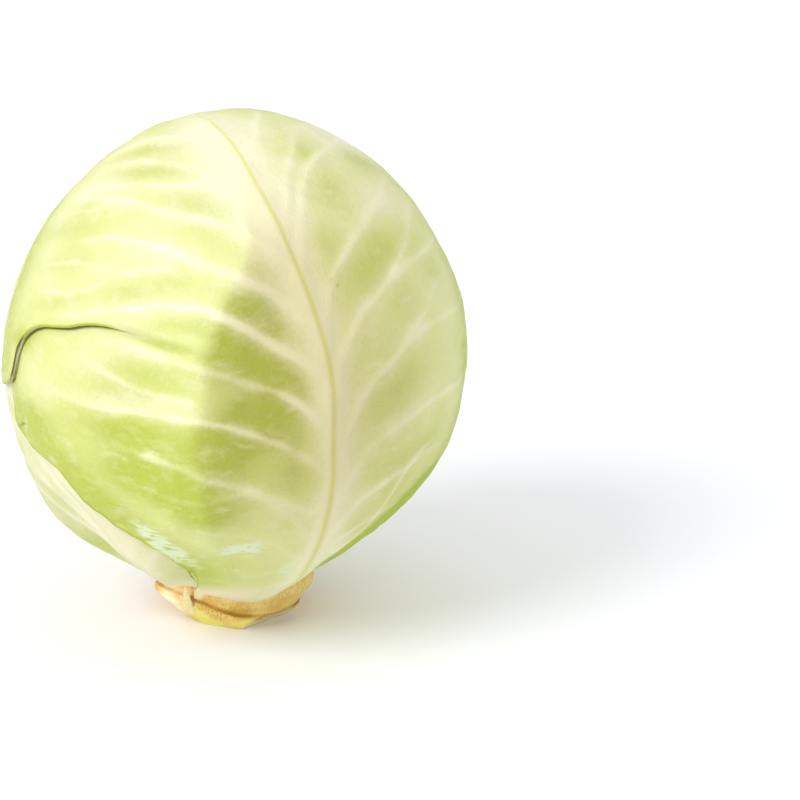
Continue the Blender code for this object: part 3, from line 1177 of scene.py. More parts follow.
@dataclass
class LeafPiece:
    """One visible leaf: its place, outline, veins, marks and finish.

    Places, reaches and patches are degrees in the leaf plane. Of the folds, the first is the
    broad ridge; the patches of painted shade keep to its shaded side.
    """

    name: str
    node: str
    slot: str
    place: Placement
    outline: Outline
    midrib: Midrib
    finish: LeafFinish
    veins: list[Vein] = field(default_factory=list)
    folds: tuple[Vein, ...] = ()
    scars: tuple[Vein, ...] = ()
    deeps: tuple[Patch, ...] = ()
    pales: tuple[Patch, ...] = ()
    scrapes: tuple[Patch, ...] = ()
    curls: tuple[Patch, ...] = ()
    painted_shades: tuple[Patch, ...] = ()
    base_width: float = 42.0
    green_base_from: float = 180.0
    curl_height: float = 1.8
    curl_width: float = 14.0
    band_width: float = 8.0
    rim_width: float = 1.5
    slit: Slit | None = None
    cells: int = 240
    thickness: float = 0.9 * MM
    pitch: float = 1.5 * MM
    plateau: float = 1.2 * MM
    ramp: float = 9.0 * MM
    typical_reach: float = 80.0
    inner_pale: float = 0.3
    seed: int = 1

    def reach(self, bearing: Array, share: Array, extra: Array | float = 0.0) -> Array:
        """Reach of the outline along bearings, ragged close to the margin only.

        Args:
            bearing: Bearings in the leaf plane.
            share: Share of the reach of every vertex.
            extra: Added reach.

        Returns:
            One reach per vertex.
        """
        ring = np.stack([np.cos(np.radians(bearing)), np.sin(np.radians(bearing)),
                         np.zeros(len(bearing))], axis=1)
        wave = value_noise(ring, self.seed, 0.22) + 0.6 * value_noise(ring, self.seed + 1, 0.07)
        wave = wave + 0.6 * value_noise(ring, self.seed + 2, 0.025)
        extra = extra + self.outline.ragged * wave * share ** 16
        return self.outline.clipped(self.place, bearing, extra)

    def cover(self, dirs: Array, form: HeadForm) -> Array:
        """1 where this leaf lies over a direction, falling to 0 beyond its margin."""
        return 1.0 - smooth((self.beyond(dirs, form) - self.plateau) / self.ramp)

    def beyond(self, dirs: Array, form: HeadForm) -> Array:
        """Distance of directions from the leaf's margin.

        Args:
            dirs: Unit directions.
            form: The head's surface.

        Returns:
            One distance per direction, negative inside the margin.
        """
        rho, bearing = self.place.polar(dirs)
        around = np.arange(0.0, 360.0, 1.0)
        margin = self.place.dirs(self.outline.free(around), around)
        near = np.full(len(dirs), 9.0)
        for start in range(0, len(dirs), CHUNK):
            part = slice(start, start + CHUNK)
            dot = np.clip(dirs[part] @ margin.T, -1.0, 1.0).max(axis=1)
            near[part] = np.arccos(dot)
        inside = rho < self.outline.free(bearing)
        return np.where(inside, -near, near) * form.half_width

    def grid(self, cells: int) -> DiscSheet:
        """The leaf's grid, cut open where the leaf has a slit."""
        return DiscSheet(cells, self.slit.start_share() if self.slit else None)

    def sheet(self, cells: int) -> tuple[Array, Array, Array, Array]:
        """Directions of the leaf's grid.

        Args:
            cells: Cells along one side of the grid.

        Returns:
            Directions, share of the reach (0 centre, 1 margin), side of the slit, quads.
        """
        share, angle, side, quads = self.grid(cells).layout()
        inner = share * (1.0 - share) * self.typical_reach
        bearing = angle
        rho = inner + share * share * self.reach(bearing, share)
        if self.slit:
            near = bell((angle - 180.0) / 45.0)
            for _ in range(3):
                bearing = angle + (self.slit.cut(rho) - 180.0) * near
                extra = self.slit.extra(bearing, side, share)
                rho = inner + share * share * self.reach(bearing, share, extra)
        return self.place.dirs(rho, bearing), share, side, quads

    def lips(self, dirs: Array, side: Array) -> tuple[Array, Array]:
        """Slide and lift of the lobe above the slit.

        Args:
            dirs: Directions of the grid.
            side: Side of the slit of every vertex.

        Returns:
            Directions with the upper lip slid down over the lower, and the lift.
        """
        slit = self.slit
        rho, bearing = self.place.polar(dirs)
        above = (slit.cut(rho) - bearing) * np.sin(np.radians(rho))
        run = slit.run(rho)
        upper = np.where(side > 0.0, bell(np.maximum(above, 0.0) / slit.fade_above), 0.0)
        lower = np.where(side < 0.0, bell(np.maximum(-above, 0.0) / slit.fade_below), 0.0)
        turn = bearing + slit.slide(rho) * upper
        lift = slit.lift * upper * run - slit.drop * lower * run
        return self.place.dirs(rho, turn), lift

    def marks(self, dirs: Array, out: Array, side: Array, bare: Array,
              form: HeadForm) -> dict[Mark, Array]:
        """Relief and colour values of the outer skin.

        Args:
            dirs: Directions of the vertices.
            out: Share of the reach of every vertex.
            side: Side of the slit of every vertex.
            bare: 1 where no other leaf lies on top.
            form: The head's surface.

        Returns:
            Values by mark.
        """
        x, y = self.place.plane(dirs)
        relief, pale, keel = self._ribs(dirs, form)
        # warm holds the painted shade on the shaded side of the broad ridge
        relief, warm = self._ridges(dirs, form, relief, self._sum(self.painted_shades, x, y))
        relief, scar = self._scar_lines(dirs, form, relief)
        for patch in self.pales:
            pale = pale + patch.mask(x, y) * (1.0 - np.clip(pale, 0.0, 1.0))
        inside = -self.beyond(dirs, form) / MM
        curl = np.clip(self._sum(self.curls, x, y), 0.0, 1.0)
        up_turn = np.clip(1.0 - inside / self.curl_width, 0.0, 1.0)
        relief = relief + self.curl_height * curl * up_turn
        base = self._base(dirs, form)
        rim, line = self._edges(dirs, out, side, form)
        # the painted shadow line under the slit's lip is added to the nicks
        scar = np.maximum(scar, line)
        fade = 1.0 - smooth((inside - self.band_width * curl) / self.band_width)
        rim = np.maximum(rim, smooth((curl - 0.15) / 0.5) * fade) * (1.0 - base)
        base = base * (1.0 - 0.8 * smooth((x - self.green_base_from) / 8.0))
        deep = self._sum(self.deeps, x, y) + 0.7 * bell(np.maximum(inside, 0.0) / 14.0)
        scrape = self._sum(self.scrapes, x, y)
        return {Mark.RELIEF: relief * (0.2 + 0.8 * bare), Mark.PALE: np.clip(pale, 0.0, 1.2),
                Mark.DEEP: np.clip(deep, 0.0, 1.0) * (1.0 - base),
                Mark.KEEL: keel, Mark.SCAR_AND_SHADOW: scar,
                Mark.SCRAPE: np.clip(scrape, 0.0, 1.0), Mark.RIM: rim, Mark.BASE: base,
                Mark.PAINTED_SHADE: np.clip(warm, 0.0, 1.0)}

    def _ribs(self, dirs: Array, form: HeadForm) -> tuple[Array, Array, Array]:
        """Midrib and side veins.

        Args:
            dirs: Directions of the vertices.
            form: The head's surface.

        Returns:
            Relief in millimetres, paleness, and the keel line along the midrib.
        """
        rib = self.midrib
        across, up = rib.line.measure(self.place, dirs, form.half_width)
        on_leaf = smooth((1.0 - up) / 0.12)
        flank = np.where(across < 0.0, rib.flank_left, rib.flank_right) * (1.35 - 0.75 * up)
        relief = rib.height * (1.0 - 0.7 * up) * bell(across / flank) * on_leaf
        crest = bell(across / (rib.crest * (1.9 - 1.3 * up))) * on_leaf
        relief += rib.crest_height * crest
        wide = np.where(across < 0.0, course(rib.pale_left, up), course(rib.pale_right, up))
        pale = rib.paleness * bell(across / wide) * on_leaf
        for vein in self.veins:
            bump, tone = self._vein_field(vein, dirs, form)
            relief = relief + bump * (1.0 - 0.6 * bell(across / flank))
            pale = pale + tone * (1.0 - np.clip(pale, 0.0, 1.0))
        return relief, pale, crest * smooth(up / 0.05)

    def _ridges(self, dirs: Array, form: HeadForm, relief: Array,
                warm: Array) -> tuple[Array, Array]:
        """Folds of the blade, with the painted shade kept to the shaded side of the broad ridge.

        Args:
            dirs: Directions of the vertices.
            form: The head's surface.
            relief: Relief so far.
            warm: Patches of painted shade.

        Returns:
            Relief with the folds, and the painted shade.
        """
        for fold in self.folds[:1]:
            gap, _ = fold.measure(self.place, dirs, form.half_width)
            gap = gap + 3.5 * value_noise(dirs, self.seed + 60, 0.16)
            # keep the painted shade to the shaded side of the ridge
            warm = warm * smooth((2.2 - gap) / 4.4)
        for fold in self.folds:
            gap, share = fold.measure(self.place, dirs, form.half_width)
            gap = gap + 0.8 * value_noise(dirs, self.seed + 60, 0.16)
            wide = np.where(gap < 0.0, fold.width, fold.thin)
            drop = (np.sqrt(gap * gap + fold.tone ** 2) - fold.tone) / wide
            tent = np.clip(1.0 - drop, 0.0, 1.0)
            tent = 0.5 * tent + 0.5 * smooth(tent)
            relief = relief + fold.height * tent * smooth(share / 0.25) * smooth((1 - share) / 0.25)
        return relief, warm

    def _scar_lines(self, dirs: Array, form: HeadForm, relief: Array) -> tuple[Array, Array]:
        """Small dark nicks in the skin.

        Args:
            dirs: Directions of the vertices.
            form: The head's surface.
            relief: Relief so far.

        Returns:
            Relief with the nicks, and their strength.
        """
        scar = np.zeros(len(dirs))
        for line in self.scars:
            gap, _ = line.measure(self.place, dirs, form.half_width)
            scar = np.maximum(scar, line.tone * bell(gap / line.width))
            relief = relief - line.height * bell(gap / line.width)
        return relief, scar

    def _base(self, dirs: Array, form: HeadForm) -> Array:
        """Pale foot of the leaf, where it joins the stem.

        Args:
            dirs: Directions of the vertices.
            form: The head's surface.

        Returns:
            1 at the stem, falling to 0 at the width of the foot.
        """
        stem = form.radius(dirs) * np.sqrt(1.0 - dirs[:, 2] ** 2) / MM
        base = smooth((self.base_width - stem) / (0.33 * self.base_width))
        return np.where(dirs[:, 2] < 0.0, base, 0.0)

    def _edges(self, dirs: Array, out: Array, side: Array,
               form: HeadForm) -> tuple[Array, Array]:
        """Green rim of the margin and of the slit's upper lip, and the painted shadow line under
        that lip.

        Args:
            dirs: Directions of the vertices.
            out: Share of the reach of every vertex.
            side: Side of the slit of every vertex.
            form: The head's surface.

        Returns:
            Strength of the rim and of the painted shadow line.
        """
        radius = form.half_width
        line = np.zeros(len(dirs))
        rho, bearing = self.place.polar(dirs)
        spare = (1.0 - out) * (rho * (1.0 + out) - out * self.typical_reach)
        spare = spare * math.radians(radius / MM) / np.maximum(out, 0.1) ** 2
        rim = np.where(out > 0.3, bell(np.maximum(spare, 0.0) / self.rim_width), 0.0)
        if self.slit:
            slit = self.slit
            gap = np.radians(slit.cut(rho) + slit.slide(rho) - bearing)
            gap = gap * np.sin(np.radians(rho)) * radius / MM
            lip = bell(gap / slit.lip_rim) * slit.run(rho)
            rim = np.maximum(rim, np.where(side > 0.0, lip, 0.0))
            # painted shadow on the lower lobe, just under the edge of the lifted upper lip
            line = np.where(side < 0.0, 1.2 * bell(gap / slit.lip_shade), 0.0) * slit.run(rho)
        return rim, line

    @staticmethod
    def _sum(patches: tuple[Patch, ...], x: Array, y: Array) -> Array:
        """Sum of the strengths of patches at leaf-plane points."""
        return sum((patch.mask(x, y) for patch in patches), np.zeros(len(x)))

    def _vein_field(self, vein: Vein, dirs: Array, form: HeadForm) -> tuple[Array, Array]:
        """Relief and paleness of one side vein.

        Args:
            vein: The vein.
            dirs: Directions of the vertices.
            form: The head's surface.

        Returns:
            Relief in millimetres and paleness, one per vertex.
        """
        gap, along = vein.measure(self.place, dirs, form.half_width)
        wobble = value_noise(dirs, self.seed + 40, 0.09)
        gap = gap + 0.5 * wobble
        width = (vein.width + (vein.thin - vein.width) * along) * (1.0 + 0.25 * wobble)
        height = vein.height * (1.0 - 0.6 * along)
        edge = smooth((1.0 - along) / 0.3) * smooth(along / 0.08)
        bump = height * bell(gap / (1.25 * width)) * (0.2 + 0.8 * edge)
        fine = bell(gap / width)
        halo = bell(gap / (3.2 * width))
        tone = vein.tone * (0.48 * fine + 0.52 * halo) * (1.0 - 0.3 * along) * edge
        return bump, tone * (0.85 + 0.35 * value_noise(dirs, self.seed + 41, 0.09))

    def build(self, form: HeadForm, uppers: list["LeafPiece"]) -> bpy.types.Object:
        """Build the closed leaf shell and dress it.

        Args:
            form: The head's surface.
            uppers: The leaves that lie over this one.

        Returns:
            The finished object.
        """
        outer, marks, quads, loop = self._face(self.cells, form, uppers, True)
        inner, _, quads_in, loop_in = self._face(self.cells // 4, form, uppers, False)
        shift = len(outer)
        tris = self._rim(loop, loop_in + shift)
        faces = np.concatenate([quads, quads_in[:, ::-1] + shift])
        obj = make_mesh(self.name, np.concatenate([outer, inner]), faces, tris)
        zero = np.zeros(len(inner))
        filled = {mark: np.concatenate([value, zero]) for mark, value in marks.items()}
        filled[Mark.SKIN] = np.concatenate([np.ones(shift), zero])
        filled[Mark.PALE][shift:] = self.inner_pale
        put_marks(obj, filled)
        ReliefNodes(seed=float(self.seed)).apply(obj, self.finish.material(), form)
        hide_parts(self.node)
        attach(obj, BODY)
        return obj

    def _face(self, cells: int, form: HeadForm, uppers: list["LeafPiece"],
              outside: bool) -> tuple[Array, dict[Mark, Array], Array, Array]:
        """One face of the shell.

        Args:
            cells: Cells along one side of the grid.
            form: The head's surface.
            uppers: The leaves that lie over this one.
            outside: Whether it is the outer face, which gets marks.

        Returns:
            Points, marks, quads and edge loop.
        """
        dirs, share, side, quads = self.sheet(cells)
        lift = np.zeros(len(dirs))
        if self.slit:
            dirs, lift = self.lips(dirs, side)
        radius = form.radius(dirs) + lift
        bare = np.ones(len(dirs))
        for upper in uppers:
            over = upper.cover(dirs, form)
            radius = radius - upper.pitch * over
            bare = bare * (1.0 - over)
        marks: dict[Mark, Array] = {}
        if outside:
            marks = self.marks(dirs, share, side, bare, form)
        else:
            edge = smooth((1.0 - share) / 0.07)
            radius = radius - self.thickness * (0.45 + 0.55 * edge)
        points = form.centre + dirs * radius[:, None]
        return points, marks, quads, self.grid(cells).loop()

    @staticmethod
    def _rim(loop: Array, loop_in: Array) -> Array:
        """Triangles between the edges of the two faces, four steps of one to one of the other.

        Args:
            loop: Edge of the outer face.
            loop_in: Edge of the inner face.

        Returns:
            Three vertex numbers per row.
        """
        tris = []
        many, few = len(loop), len(loop_in)
        step = many // few
        for k in range(few):
            a, b = loop_in[k], loop_in[(k + 1) % few]
            for j in range(step):
                p, q = loop[k * step + j], loop[(k * step + j + 1) % many]
                tris.append((q, p, a if j < step // 2 else b))
            tris.append((loop[(k * step + step // 2) % many], a, b))
        return np.array(tris)


def front_veins() -> list[Vein]:
    """Side veins of the front leaf.

    Returns:
        The veins, from tip to base on the left and then on the right.
    """
    big = {"width": 1.7, "thin": 0.9, "tone": 0.85}
    soft = {"width": 1.8, "thin": 1.0, "tone": 0.74}
    small = {"width": 1.0, "thin": 0.7, "height": 0.22, "tone": 0.6}
    left = [
        Vein(((-7.5, 66), (-19, 70), (-27, 74), (-40, 78), (-56, 84)), **big),
        Vein(((-6.0, 44), (-14, 49), (-24, 58), (-36, 67), (-52, 78)), **big),
        Vein(((-5.0, 38), (-16, 47), (-31, 53), (-46, 61), (-62, 71)), **big),
        Vein(((-3.0, 24), (-15, 35), (-31, 44), (-41, 52), (-52, 54), (-66, 62)), **big),
        Vein(((-38, 49), (-43, 53), (-52, 60), (-60, 66)), **small),
        Vein(((-2.0, 12), (-12, 20), (-24, 27), (-36, 36), (-50, 42), (-70, 47)),
             2.1, 1.0, 0.5, 1.0),
        Vein(((-30, 29), (-43, 30), (-56, 28), (-68, 30), (-80, 33)), **small),
        Vein(((-46, 31), (-56, 36), (-68, 40), (-78, 42)), **small),
        Vein(((-1.0, 0), (-10, 6), (-20, 13), (-32, 19), (-48, 21), (-64, 22), (-80, 28)),
             2.0, 1.1, 0.55, 0.95),
        Vein(((-1.0, -12), (-10, -5), (-20, 0), (-34, 6), (-48, 12), (-60, 17)), **big),
        Vein(((-31, -4), (-42, -1), (-54, 5), (-63, 12)), **small),
        Vein(((-1.0, -24), (-12, -16), (-28, -9), (-44, -6), (-60, -3), (-80, 4)), **big),
        Vein(((-1.0, -36), (-12, -30), (-24, -25), (-37, -19), (-50, -16), (-66, -15)),
             2.0, 1.2, 0.4, 0.55),
        Vein(((-1.0, -44), (-10, -34), (-20, -28), (-34, -29), (-46, -26), (-56, -27)),
             1.6, 1.0, 0.3, 0.4),
        Vein(((-2.0, -54), (-9, -46), (-20, -41), (-34, -38), (-44, -35)), 1.6, 1.0, 0.3, 0.35),
    ]
    right = [
        Vein(((-5.5, 54), (-1, 62), (3, 70), (9, 78), (15, 88)), **soft),
        Vein(((-3.6, 34), (-1, 43), (3, 51), (9, 60), (19, 71)), **soft),
        Vein(((-2.6, 25), (0, 35), (5, 46), (13, 54), (25, 61), (42, 72)), **soft),
        Vein(((-0.5, 5), (1, 13), (5, 22), (13, 30), (24, 38), (38, 49), (54, 60)), **soft),
        Vein(((0.5, -8), (3, 2), (9, 11), (20, 19), (34, 25), (50, 30), (66, 36)), **soft),
        Vein(((21, 19.5), (29, 27), (40, 38), (50, 44)), **small),
        Vein(((0.8, -26), (4, -15), (10, -5), (20, 2), (34, 8), (52, 11), (70, 16)), **soft),
        Vein(((22, 3.5), (30, 10), (40, 18), (50, 21)), **small),
        Vein(((0.8, -38), (5, -28), (12, -19), (23, -14), (36, -11), (54, -9), (70, -6)), **soft),
        Vein(((0.8, -48), (5, -39), (13, -32), (24, -28), (36, -26), (54, -24)), **soft),
        Vein(((0.6, -56), (5, -49), (12, -43), (22, -40), (34, -40)), **small),
        Vein(((6, -55), (12, -47.5), (16.5, -42), (21, -34), (25, -28), (32, -24), (42, -20)),
             0.8, 0.6, 0.25, 0.9),
    ]
    return left + right


def front_midrib() -> Midrib:
    """The front leaf's midrib, leaning left towards its tip.

    Returns:
        The midrib.
    """
    line = Vein(((-5, -96), (-3.5, -84), (-0.5, -67), (-0.5, -56), (0, -45), (0.5, -27), (0, -17),
                 (0, 0), (-2.6, 17), (-5.6, 34), (-8, 53), (-9.5, 76), (-10, 92)))
    return Midrib(
        line, height=1.3, flank_left=6.0, flank_right=3.8,
        pale_left=((0.0, 16.0), (0.2, 9.0), (0.4, 5.0), (0.6, 6.5), (0.8, 15.0), (1.0, 18.0)),
        pale_right=((0.0, 10.0), (0.2, 7.0), (0.4, 7.5), (0.6, 7.0), (0.8, 9.0), (1.0, 11.0)))


def front_outline() -> Outline:
    """The front leaf's margin: far out at the upper left, short at the lower right.

    Returns:
        The outline.
    """
    return Outline(
        ((0, 62.5), (20, 68), (40, 76), (55, 81), (70, 88.5), (90, 98), (112, 102), (135, 104),
         (155, 99), (165, 97), (176, 96), (184, 95), (190, 94), (195, 87), (200, 78),
         (206, 74.5), (212, 71.5), (218, 69), (224, 66.5), (230, 64.8), (236, 64.5), (242, 66),
         (244.5, 69), (247, 74), (250, 81), (253, 92), (258, 96), (268, 96), (271, 84),
         (275, 69), (279, 62), (284, 58.5), (292, 55.5), (300, 54), (310, 54.5), (320, 56.5),
         (330, 59), (340, 61), (350, 61)),
        stop_angle=17.6)


def front_deeps() -> tuple[Patch, ...]:
    """Deeper green patches between the front leaf's veins. The tall one at (-16, -3), right of the
    broad ridge, and the thin one along the crease at (-38, 10.6) are painted shade.

    Returns:
        The patches.
    """
    return (
        Patch(-21, 7, 8, 6, 0.95, 25), Patch(-45, 5, 14, 4.5, 0.45, -8),
        Patch(-48, -11, 17, 6, 0.75, -8), Patch(-39, -23, 15, 6, 0.85, -12),
        Patch(-25, -15, 8, 7, 0.95), Patch(-21, -7, 7, 5, 0.6), Patch(-81, -11, 8, 8, 0.7),
        Patch(-66, -29, 12, 4, 0.9, -42), Patch(-53, -40, 12, 4, 0.8, -38),
        Patch(-28, -34, 9, 6, 0.45), Patch(-32, 60, 13, 4, 0.5, -22),
        Patch(-30, 69, 12, 3.5, 0.4, -20), Patch(-49, 58, 7, 4, 0.3),
        Patch(-22, 42, 12, 6, 0.35, -30), Patch(-61, 51, 14, 4, 0.25, -25),
        Patch(-62, 38, 12, 3, 0.25, -15), Patch(-66, 27, 10, 3, 0.25, -5),
        Patch(-43, 25, 10, 4, 0.4, -8), Patch(-30, 25, 8, 4, 0.3, -20),
        Patch(-18, 15, 7, 5, 0.8), Patch(-34, 15, 9, 3, 0.45, -8), Patch(-82, 17, 6, 5, 0.6),
        Patch(11, 56, 4, 5, 0.5), Patch(13, 44, 7, 5, 0.5), Patch(21, 28, 7, 5, 0.4, 35),
        Patch(13, 21, 6, 5, 0.4, 45), Patch(6, 30, 4, 5, 0.3), Patch(24, 14, 6, 4, 0.25, 20),
        Patch(40, 21, 7, 4, 0.3, 20), Patch(30, 55, 8, 4, 0.5, -20),
        Patch(20, -6, 9, 4, 0.3, 20), Patch(29, -24, 12, 4, 0.25, 20),
        # Patch(-16, -3) is painted shade right of the broad ridge
        Patch(-31, -31, 8, 5, 0.4), Patch(-16, -3, 6, 15, 0.5), Patch(-15, 24, 4, 6, 0.3),
        Patch(-47, -26, 14, 7, 0.45, -20), Patch(-46, -1, 12, 3.5, 0.4, -6),
        # Patch(-38, 10.6) is painted shade along the crease that goes on from the slit
        Patch(-11, -3, 5, 5, 0.7), Patch(-38, 10.6, 9, 1.5, 0.6, -19),
        Patch(54, -4, 9, 24, 0.4), Patch(-9, -14, 4, 18, 0.45), Patch(-12, 14, 4, 12, 0.4))


def front_folds() -> tuple[Vein, ...]:
    """Folds of the front leaf: the broad ridge, a crease, and a dip that goes on from the slit.

    Returns:
        The folds, the broad ridge first.
    """
    ridge = Vein(((-10, 46), (-14.5, 32), (-20.5, 20), (-27, 8), (-30, -4), (-32, -16),
                  (-31, -28), (-28, -42), (-24, -52)), width=14.0, thin=26.0, height=3.4, tone=1.6)
    crease = Vein(((-4, 50), (6, 42), (14, 39), (24, 37), (34, 38)), 2.0, 2.0, -0.35, 0.5)
    pull = Vein(((-50, 16), (-43.3, 13.4), (-36.4, 10.3), (-29, 7.5)), 2.2, 1.4, -0.9, 0.4)
    return ridge, crease, pull


def front_scars() -> tuple[Vein, ...]:
    """Small dark nicks beside the front leaf's midrib.

    Returns:
        The nicks.
    """
    nick = Vein(((-16.5, -12), (-14.5, -13.5), (-12, -14)), 0.8, 0.8, 0.25, 0.28)
    dots = (((-13, 34), (-12.6, 33.4)), ((-12, 28), (-11.6, 27.6)), ((-10, 23), (-9.7, 22.6)))
    sizes = (0.5, 0.5, 0.4)
    return (nick, *(Vein(dot, size, size, 0.0, 0.2) for dot, size in zip(dots, sizes)))


def front_leaf() -> LeafPiece:
    """The outermost leaf, which wraps the whole front of the head.

    Returns:
        The leaf.
    """
    return LeafPiece(
        name="front_leaf", node="leaf_01_front", slot="outer_leaf",
        place=Placement(25.0, 12.0), outline=front_outline(), midrib=front_midrib(),
        veins=front_veins(), finish=LeafFinish("front_leaf_skin"), deeps=front_deeps(),
        folds=front_folds(), scars=front_scars(),
        pales=(Patch(-10, 62, 9, 16, 0.6), Patch(-9, 42, 6, 14, 0.6),
               Patch(-45, -3, 22, 3, 0.35, -5), Patch(5, -52, 6, 10, 0.7),
               Patch(14, 0, 20, 30, 0.2), Patch(-62, 8, 18, 9, 0.35),
               # Patch(30, 42) and Patch(32, 66) are painted light on the top right of the head
               Patch(30, 42, 20, 10, 0.6), Patch(32, 66, 20, 10, 0.8),
               Patch(-50, 64, 16, 8, 0.5)),
        scrapes=(Patch(-40, -46, 12, 3.2, 1.0, -42.0), Patch(-20, -46, 7, 2.6, 0.9, 6.0),
                 Patch(-6, -55, 3.0, 2.6, 0.8)),
        curls=(Patch(24, -50, 25, 15, 1.15, 36),),
        # painted shade on the side of the front leaf turned away from the key light
        painted_shades=(Patch(-13, -8, 22, 40, 1.0), Patch(13, -12, 20, 34, 0.6),
               Patch(-4, 26, 16, 14, 0.4)),
        base_width=60.0, green_base_from=-16.0, slit=Slit(), cells=296, seed=11)


def plain_veins(rib: Vein, seed: int, count: int = 10) -> list[Vein]:
    """Side veins that leave a midrib at even steps on both sides.

    Args:
        rib: The midrib's line.
        seed: Fixed seed for the small differences between veins.
        count: Veins on each side.

    Returns:
        The veins of both sides.
    """
    rng = np.random.default_rng(seed)
    path = rib.path()
    veins = []
    for side in Side:
        for k in range(count):
            share = 0.16 + 0.74 * (k + (0.45 if side is Side.LEFT else 0.0)) / count
            x, y = path[int(share * (len(path) - 1))]
            points = [(x, y)]
            heading = 64.0 + rng.uniform(-6.0, 6.0)
            settle = 8.0 + 30.0 * k / count + rng.uniform(-5.0, 5.0)
            for step in range(7):
                length = 6.0 + 2.2 * step
                x += side.value * length * math.cos(math.radians(heading))
                y += length * math.sin(math.radians(heading))
                points.append((x, y))
                heading += (settle - heading) * 0.5 + rng.uniform(-6.0, 6.0)
            veins.append(Vein(tuple(points), 1.7, 0.9, 0.45, 0.9))
            if k % 2:
                fork = points[3]
                turn = math.radians(settle + 26.0)
                tips = [(fork[0] + side.value * d * math.cos(turn), fork[1] + d * math.sin(turn))
                        for d in (0.0, 8.0, 18.0, 30.0)]
                veins.append(Vein(tuple(tips), 1.1, 0.7, 0.25, 0.65))
    return veins


def scattered_deeps(seed: int, count: int = 26) -> tuple[Patch, ...]:
    """Soft green patches scattered over a leaf.

    Args:
        seed: Fixed seed of their places and sizes.
        count: How many of them.

    Returns:
        The patches.
    """
    rng = np.random.default_rng(seed)
    patches = []
    for _ in range(count):
        x, y = rng.uniform(-70.0, 70.0), rng.uniform(-60.0, 75.0)
        lean = 25.0 if x > 0.0 else -25.0
        patches.append(Patch(x, y, rng.uniform(7.0, 15.0), rng.uniform(3.5, 6.5),
                             rng.uniform(0.25, 0.75), lean))
    return tuple(patches)


def back_leaves() -> list[LeafPiece]:
    """The three leaves seen beyond the front leaf's margins.

    Returns:
        The leaves, outermost first.
    """
    left_rib = Vein(((40, -80), (42, -66), (42, -56), (40, -48), (36, -38), (28, -29),
                     (17, -22), (9, -8), (4, 12), (1, 34), (-2, 58), (-4, 84)))
    left = LeafPiece(
        name="left_leaf", node="leaf_02_left", slot="second_leaf",
        place=Placement(-78.0, 9.0),
        outline=Outline(((0, 80), (45, 84), (90, 84), (135, 86), (180, 84), (225, 84), (270, 96),
                         (292, 96), (315, 92), (338, 84))),
        midrib=Midrib(left_rib, height=2.4, flank_left=4.0, flank_right=5.5, crest=0.3,
                      paleness=0.55),
        finish=LeafFinish("left_leaf_skin", blade=linear(206, 207, 148),
                          fresh=linear(196, 200, 128), pale=linear(222, 218, 184),
                          keel=linear(206, 202, 160), base=linear(244, 222, 190), seed=5.0),
        veins=plain_veins(left_rib, 21), deeps=scattered_deeps(22), base_width=62.0, seed=21)
    right_rib = Vein(((-3, -92), (-2, -60), (0, -30), (1, 0), (3, 34), (4, 60), (6, 84)))
    right = LeafPiece(
        name="right_leaf", node="leaf_03_right", slot="second_leaf",
        place=Placement(122.0, 10.0),
        outline=Outline(((0, 82), (45, 88), (90, 88), (135, 84), (170, 86), (200, 98), (225, 103),
                         (238, 102), (246, 100.5), (252, 99.5), (270, 98), (290, 94),
                         (315, 80))),
        midrib=Midrib(right_rib), finish=LeafFinish("right_leaf_skin", seed=8.0),
        veins=plain_veins(right_rib, 33), deeps=scattered_deeps(34), seed=31)
    back_rib = Vein(((2, -92), (1, -60), (-1, -30), (0, 0), (-2, 34), (-5, 60), (-8, 84)))
    back = LeafPiece(
        name="back_leaf", node="leaf_04_back", slot="second_leaf",
        place=Placement(-158.0, 8.0),
        outline=Outline(((0, 80), (45, 86), (90, 90), (135, 88), (180, 80), (225, 84),
                         (250, 94), (290, 94), (315, 86))),
        midrib=Midrib(back_rib), finish=LeafFinish("back_leaf_skin", seed=12.0),
        veins=plain_veins(back_rib, 47), deeps=scattered_deeps(48), seed=41)
    return [left, right, back]


def under_leaves(count: int = 4, start: float = -22.0, turn: float = 137.5,
                 reach: float = 84.0) -> list[LeafPiece]:
    """The leaves wholly under the wrappers, which show only through the gaps between those.

    Args:
        count: How many of them.
        start: Azimuth of the first.
        turn: Turn from one leaf to the next, in degrees.
        reach: Usual reach of their outline.

    Returns:
        The leaves, outermost first.
    """
    leaves = []
    for number in range(count):
        azimuth = (start + number * turn + 180.0) % 360.0 - 180.0
        sway = 3.0 * math.sin(2.4 * number)
        rib = Vein(((2, -92), (1, -60), (-1, -30), (0, 0), (-2, 34), (-5, 60), (-6, 80)))
        outline = Outline(((0, reach + 4.0), (45, reach + sway), (90, reach - 3.0),
                           (135, reach - 4.0), (180, reach), (225, reach - 4.0),
                           (255, 96.0), (285, 96.0), (315, reach - sway)))
        finish = LeafFinish(f"under_leaf_skin_{number + 1}", blade=linear(228, 228, 176),
                            fresh=linear(220, 222, 158), deep=linear(200, 208, 122),
                            pale=linear(238, 234, 202), seed=20.0 + number)
        leaves.append(LeafPiece(
            name=f"under_leaf_{number + 1}", node=f"leaf_{number + 5:02d}_under",
            slot="inner_leaf", place=Placement(azimuth, 10.0 + sway), outline=outline,
            midrib=Midrib(rib), finish=finish, veins=plain_veins(rib, 61 + number, 7),
            deeps=scattered_deeps(71 + number, 12), cells=112, seed=81 + number))
    return leaves


@dataclass(frozen=True)
class KnifeCut:
    """A flat cut on the stump's side, leaning outwards as it rises (millimetres)."""

    azimuth: float
    distance: float
    slope: float
    top: float

    def limit(self, azimuth: Array, height: Array) -> Array:
        """Radius of the cut plane.

        Args:
            azimuth: Azimuths in degrees.
            height: Heights in millimetres.

        Returns:
            Radii in millimetres, far away where the cut doesn't reach.
        """
        turn = np.cos(np.radians(azimuth - self.azimuth))
        plane = (self.distance + self.slope * height) / np.maximum(turn, 0.05)
        return np.where((height < self.top) & (turn > 0.3), plane, FAR_MM)


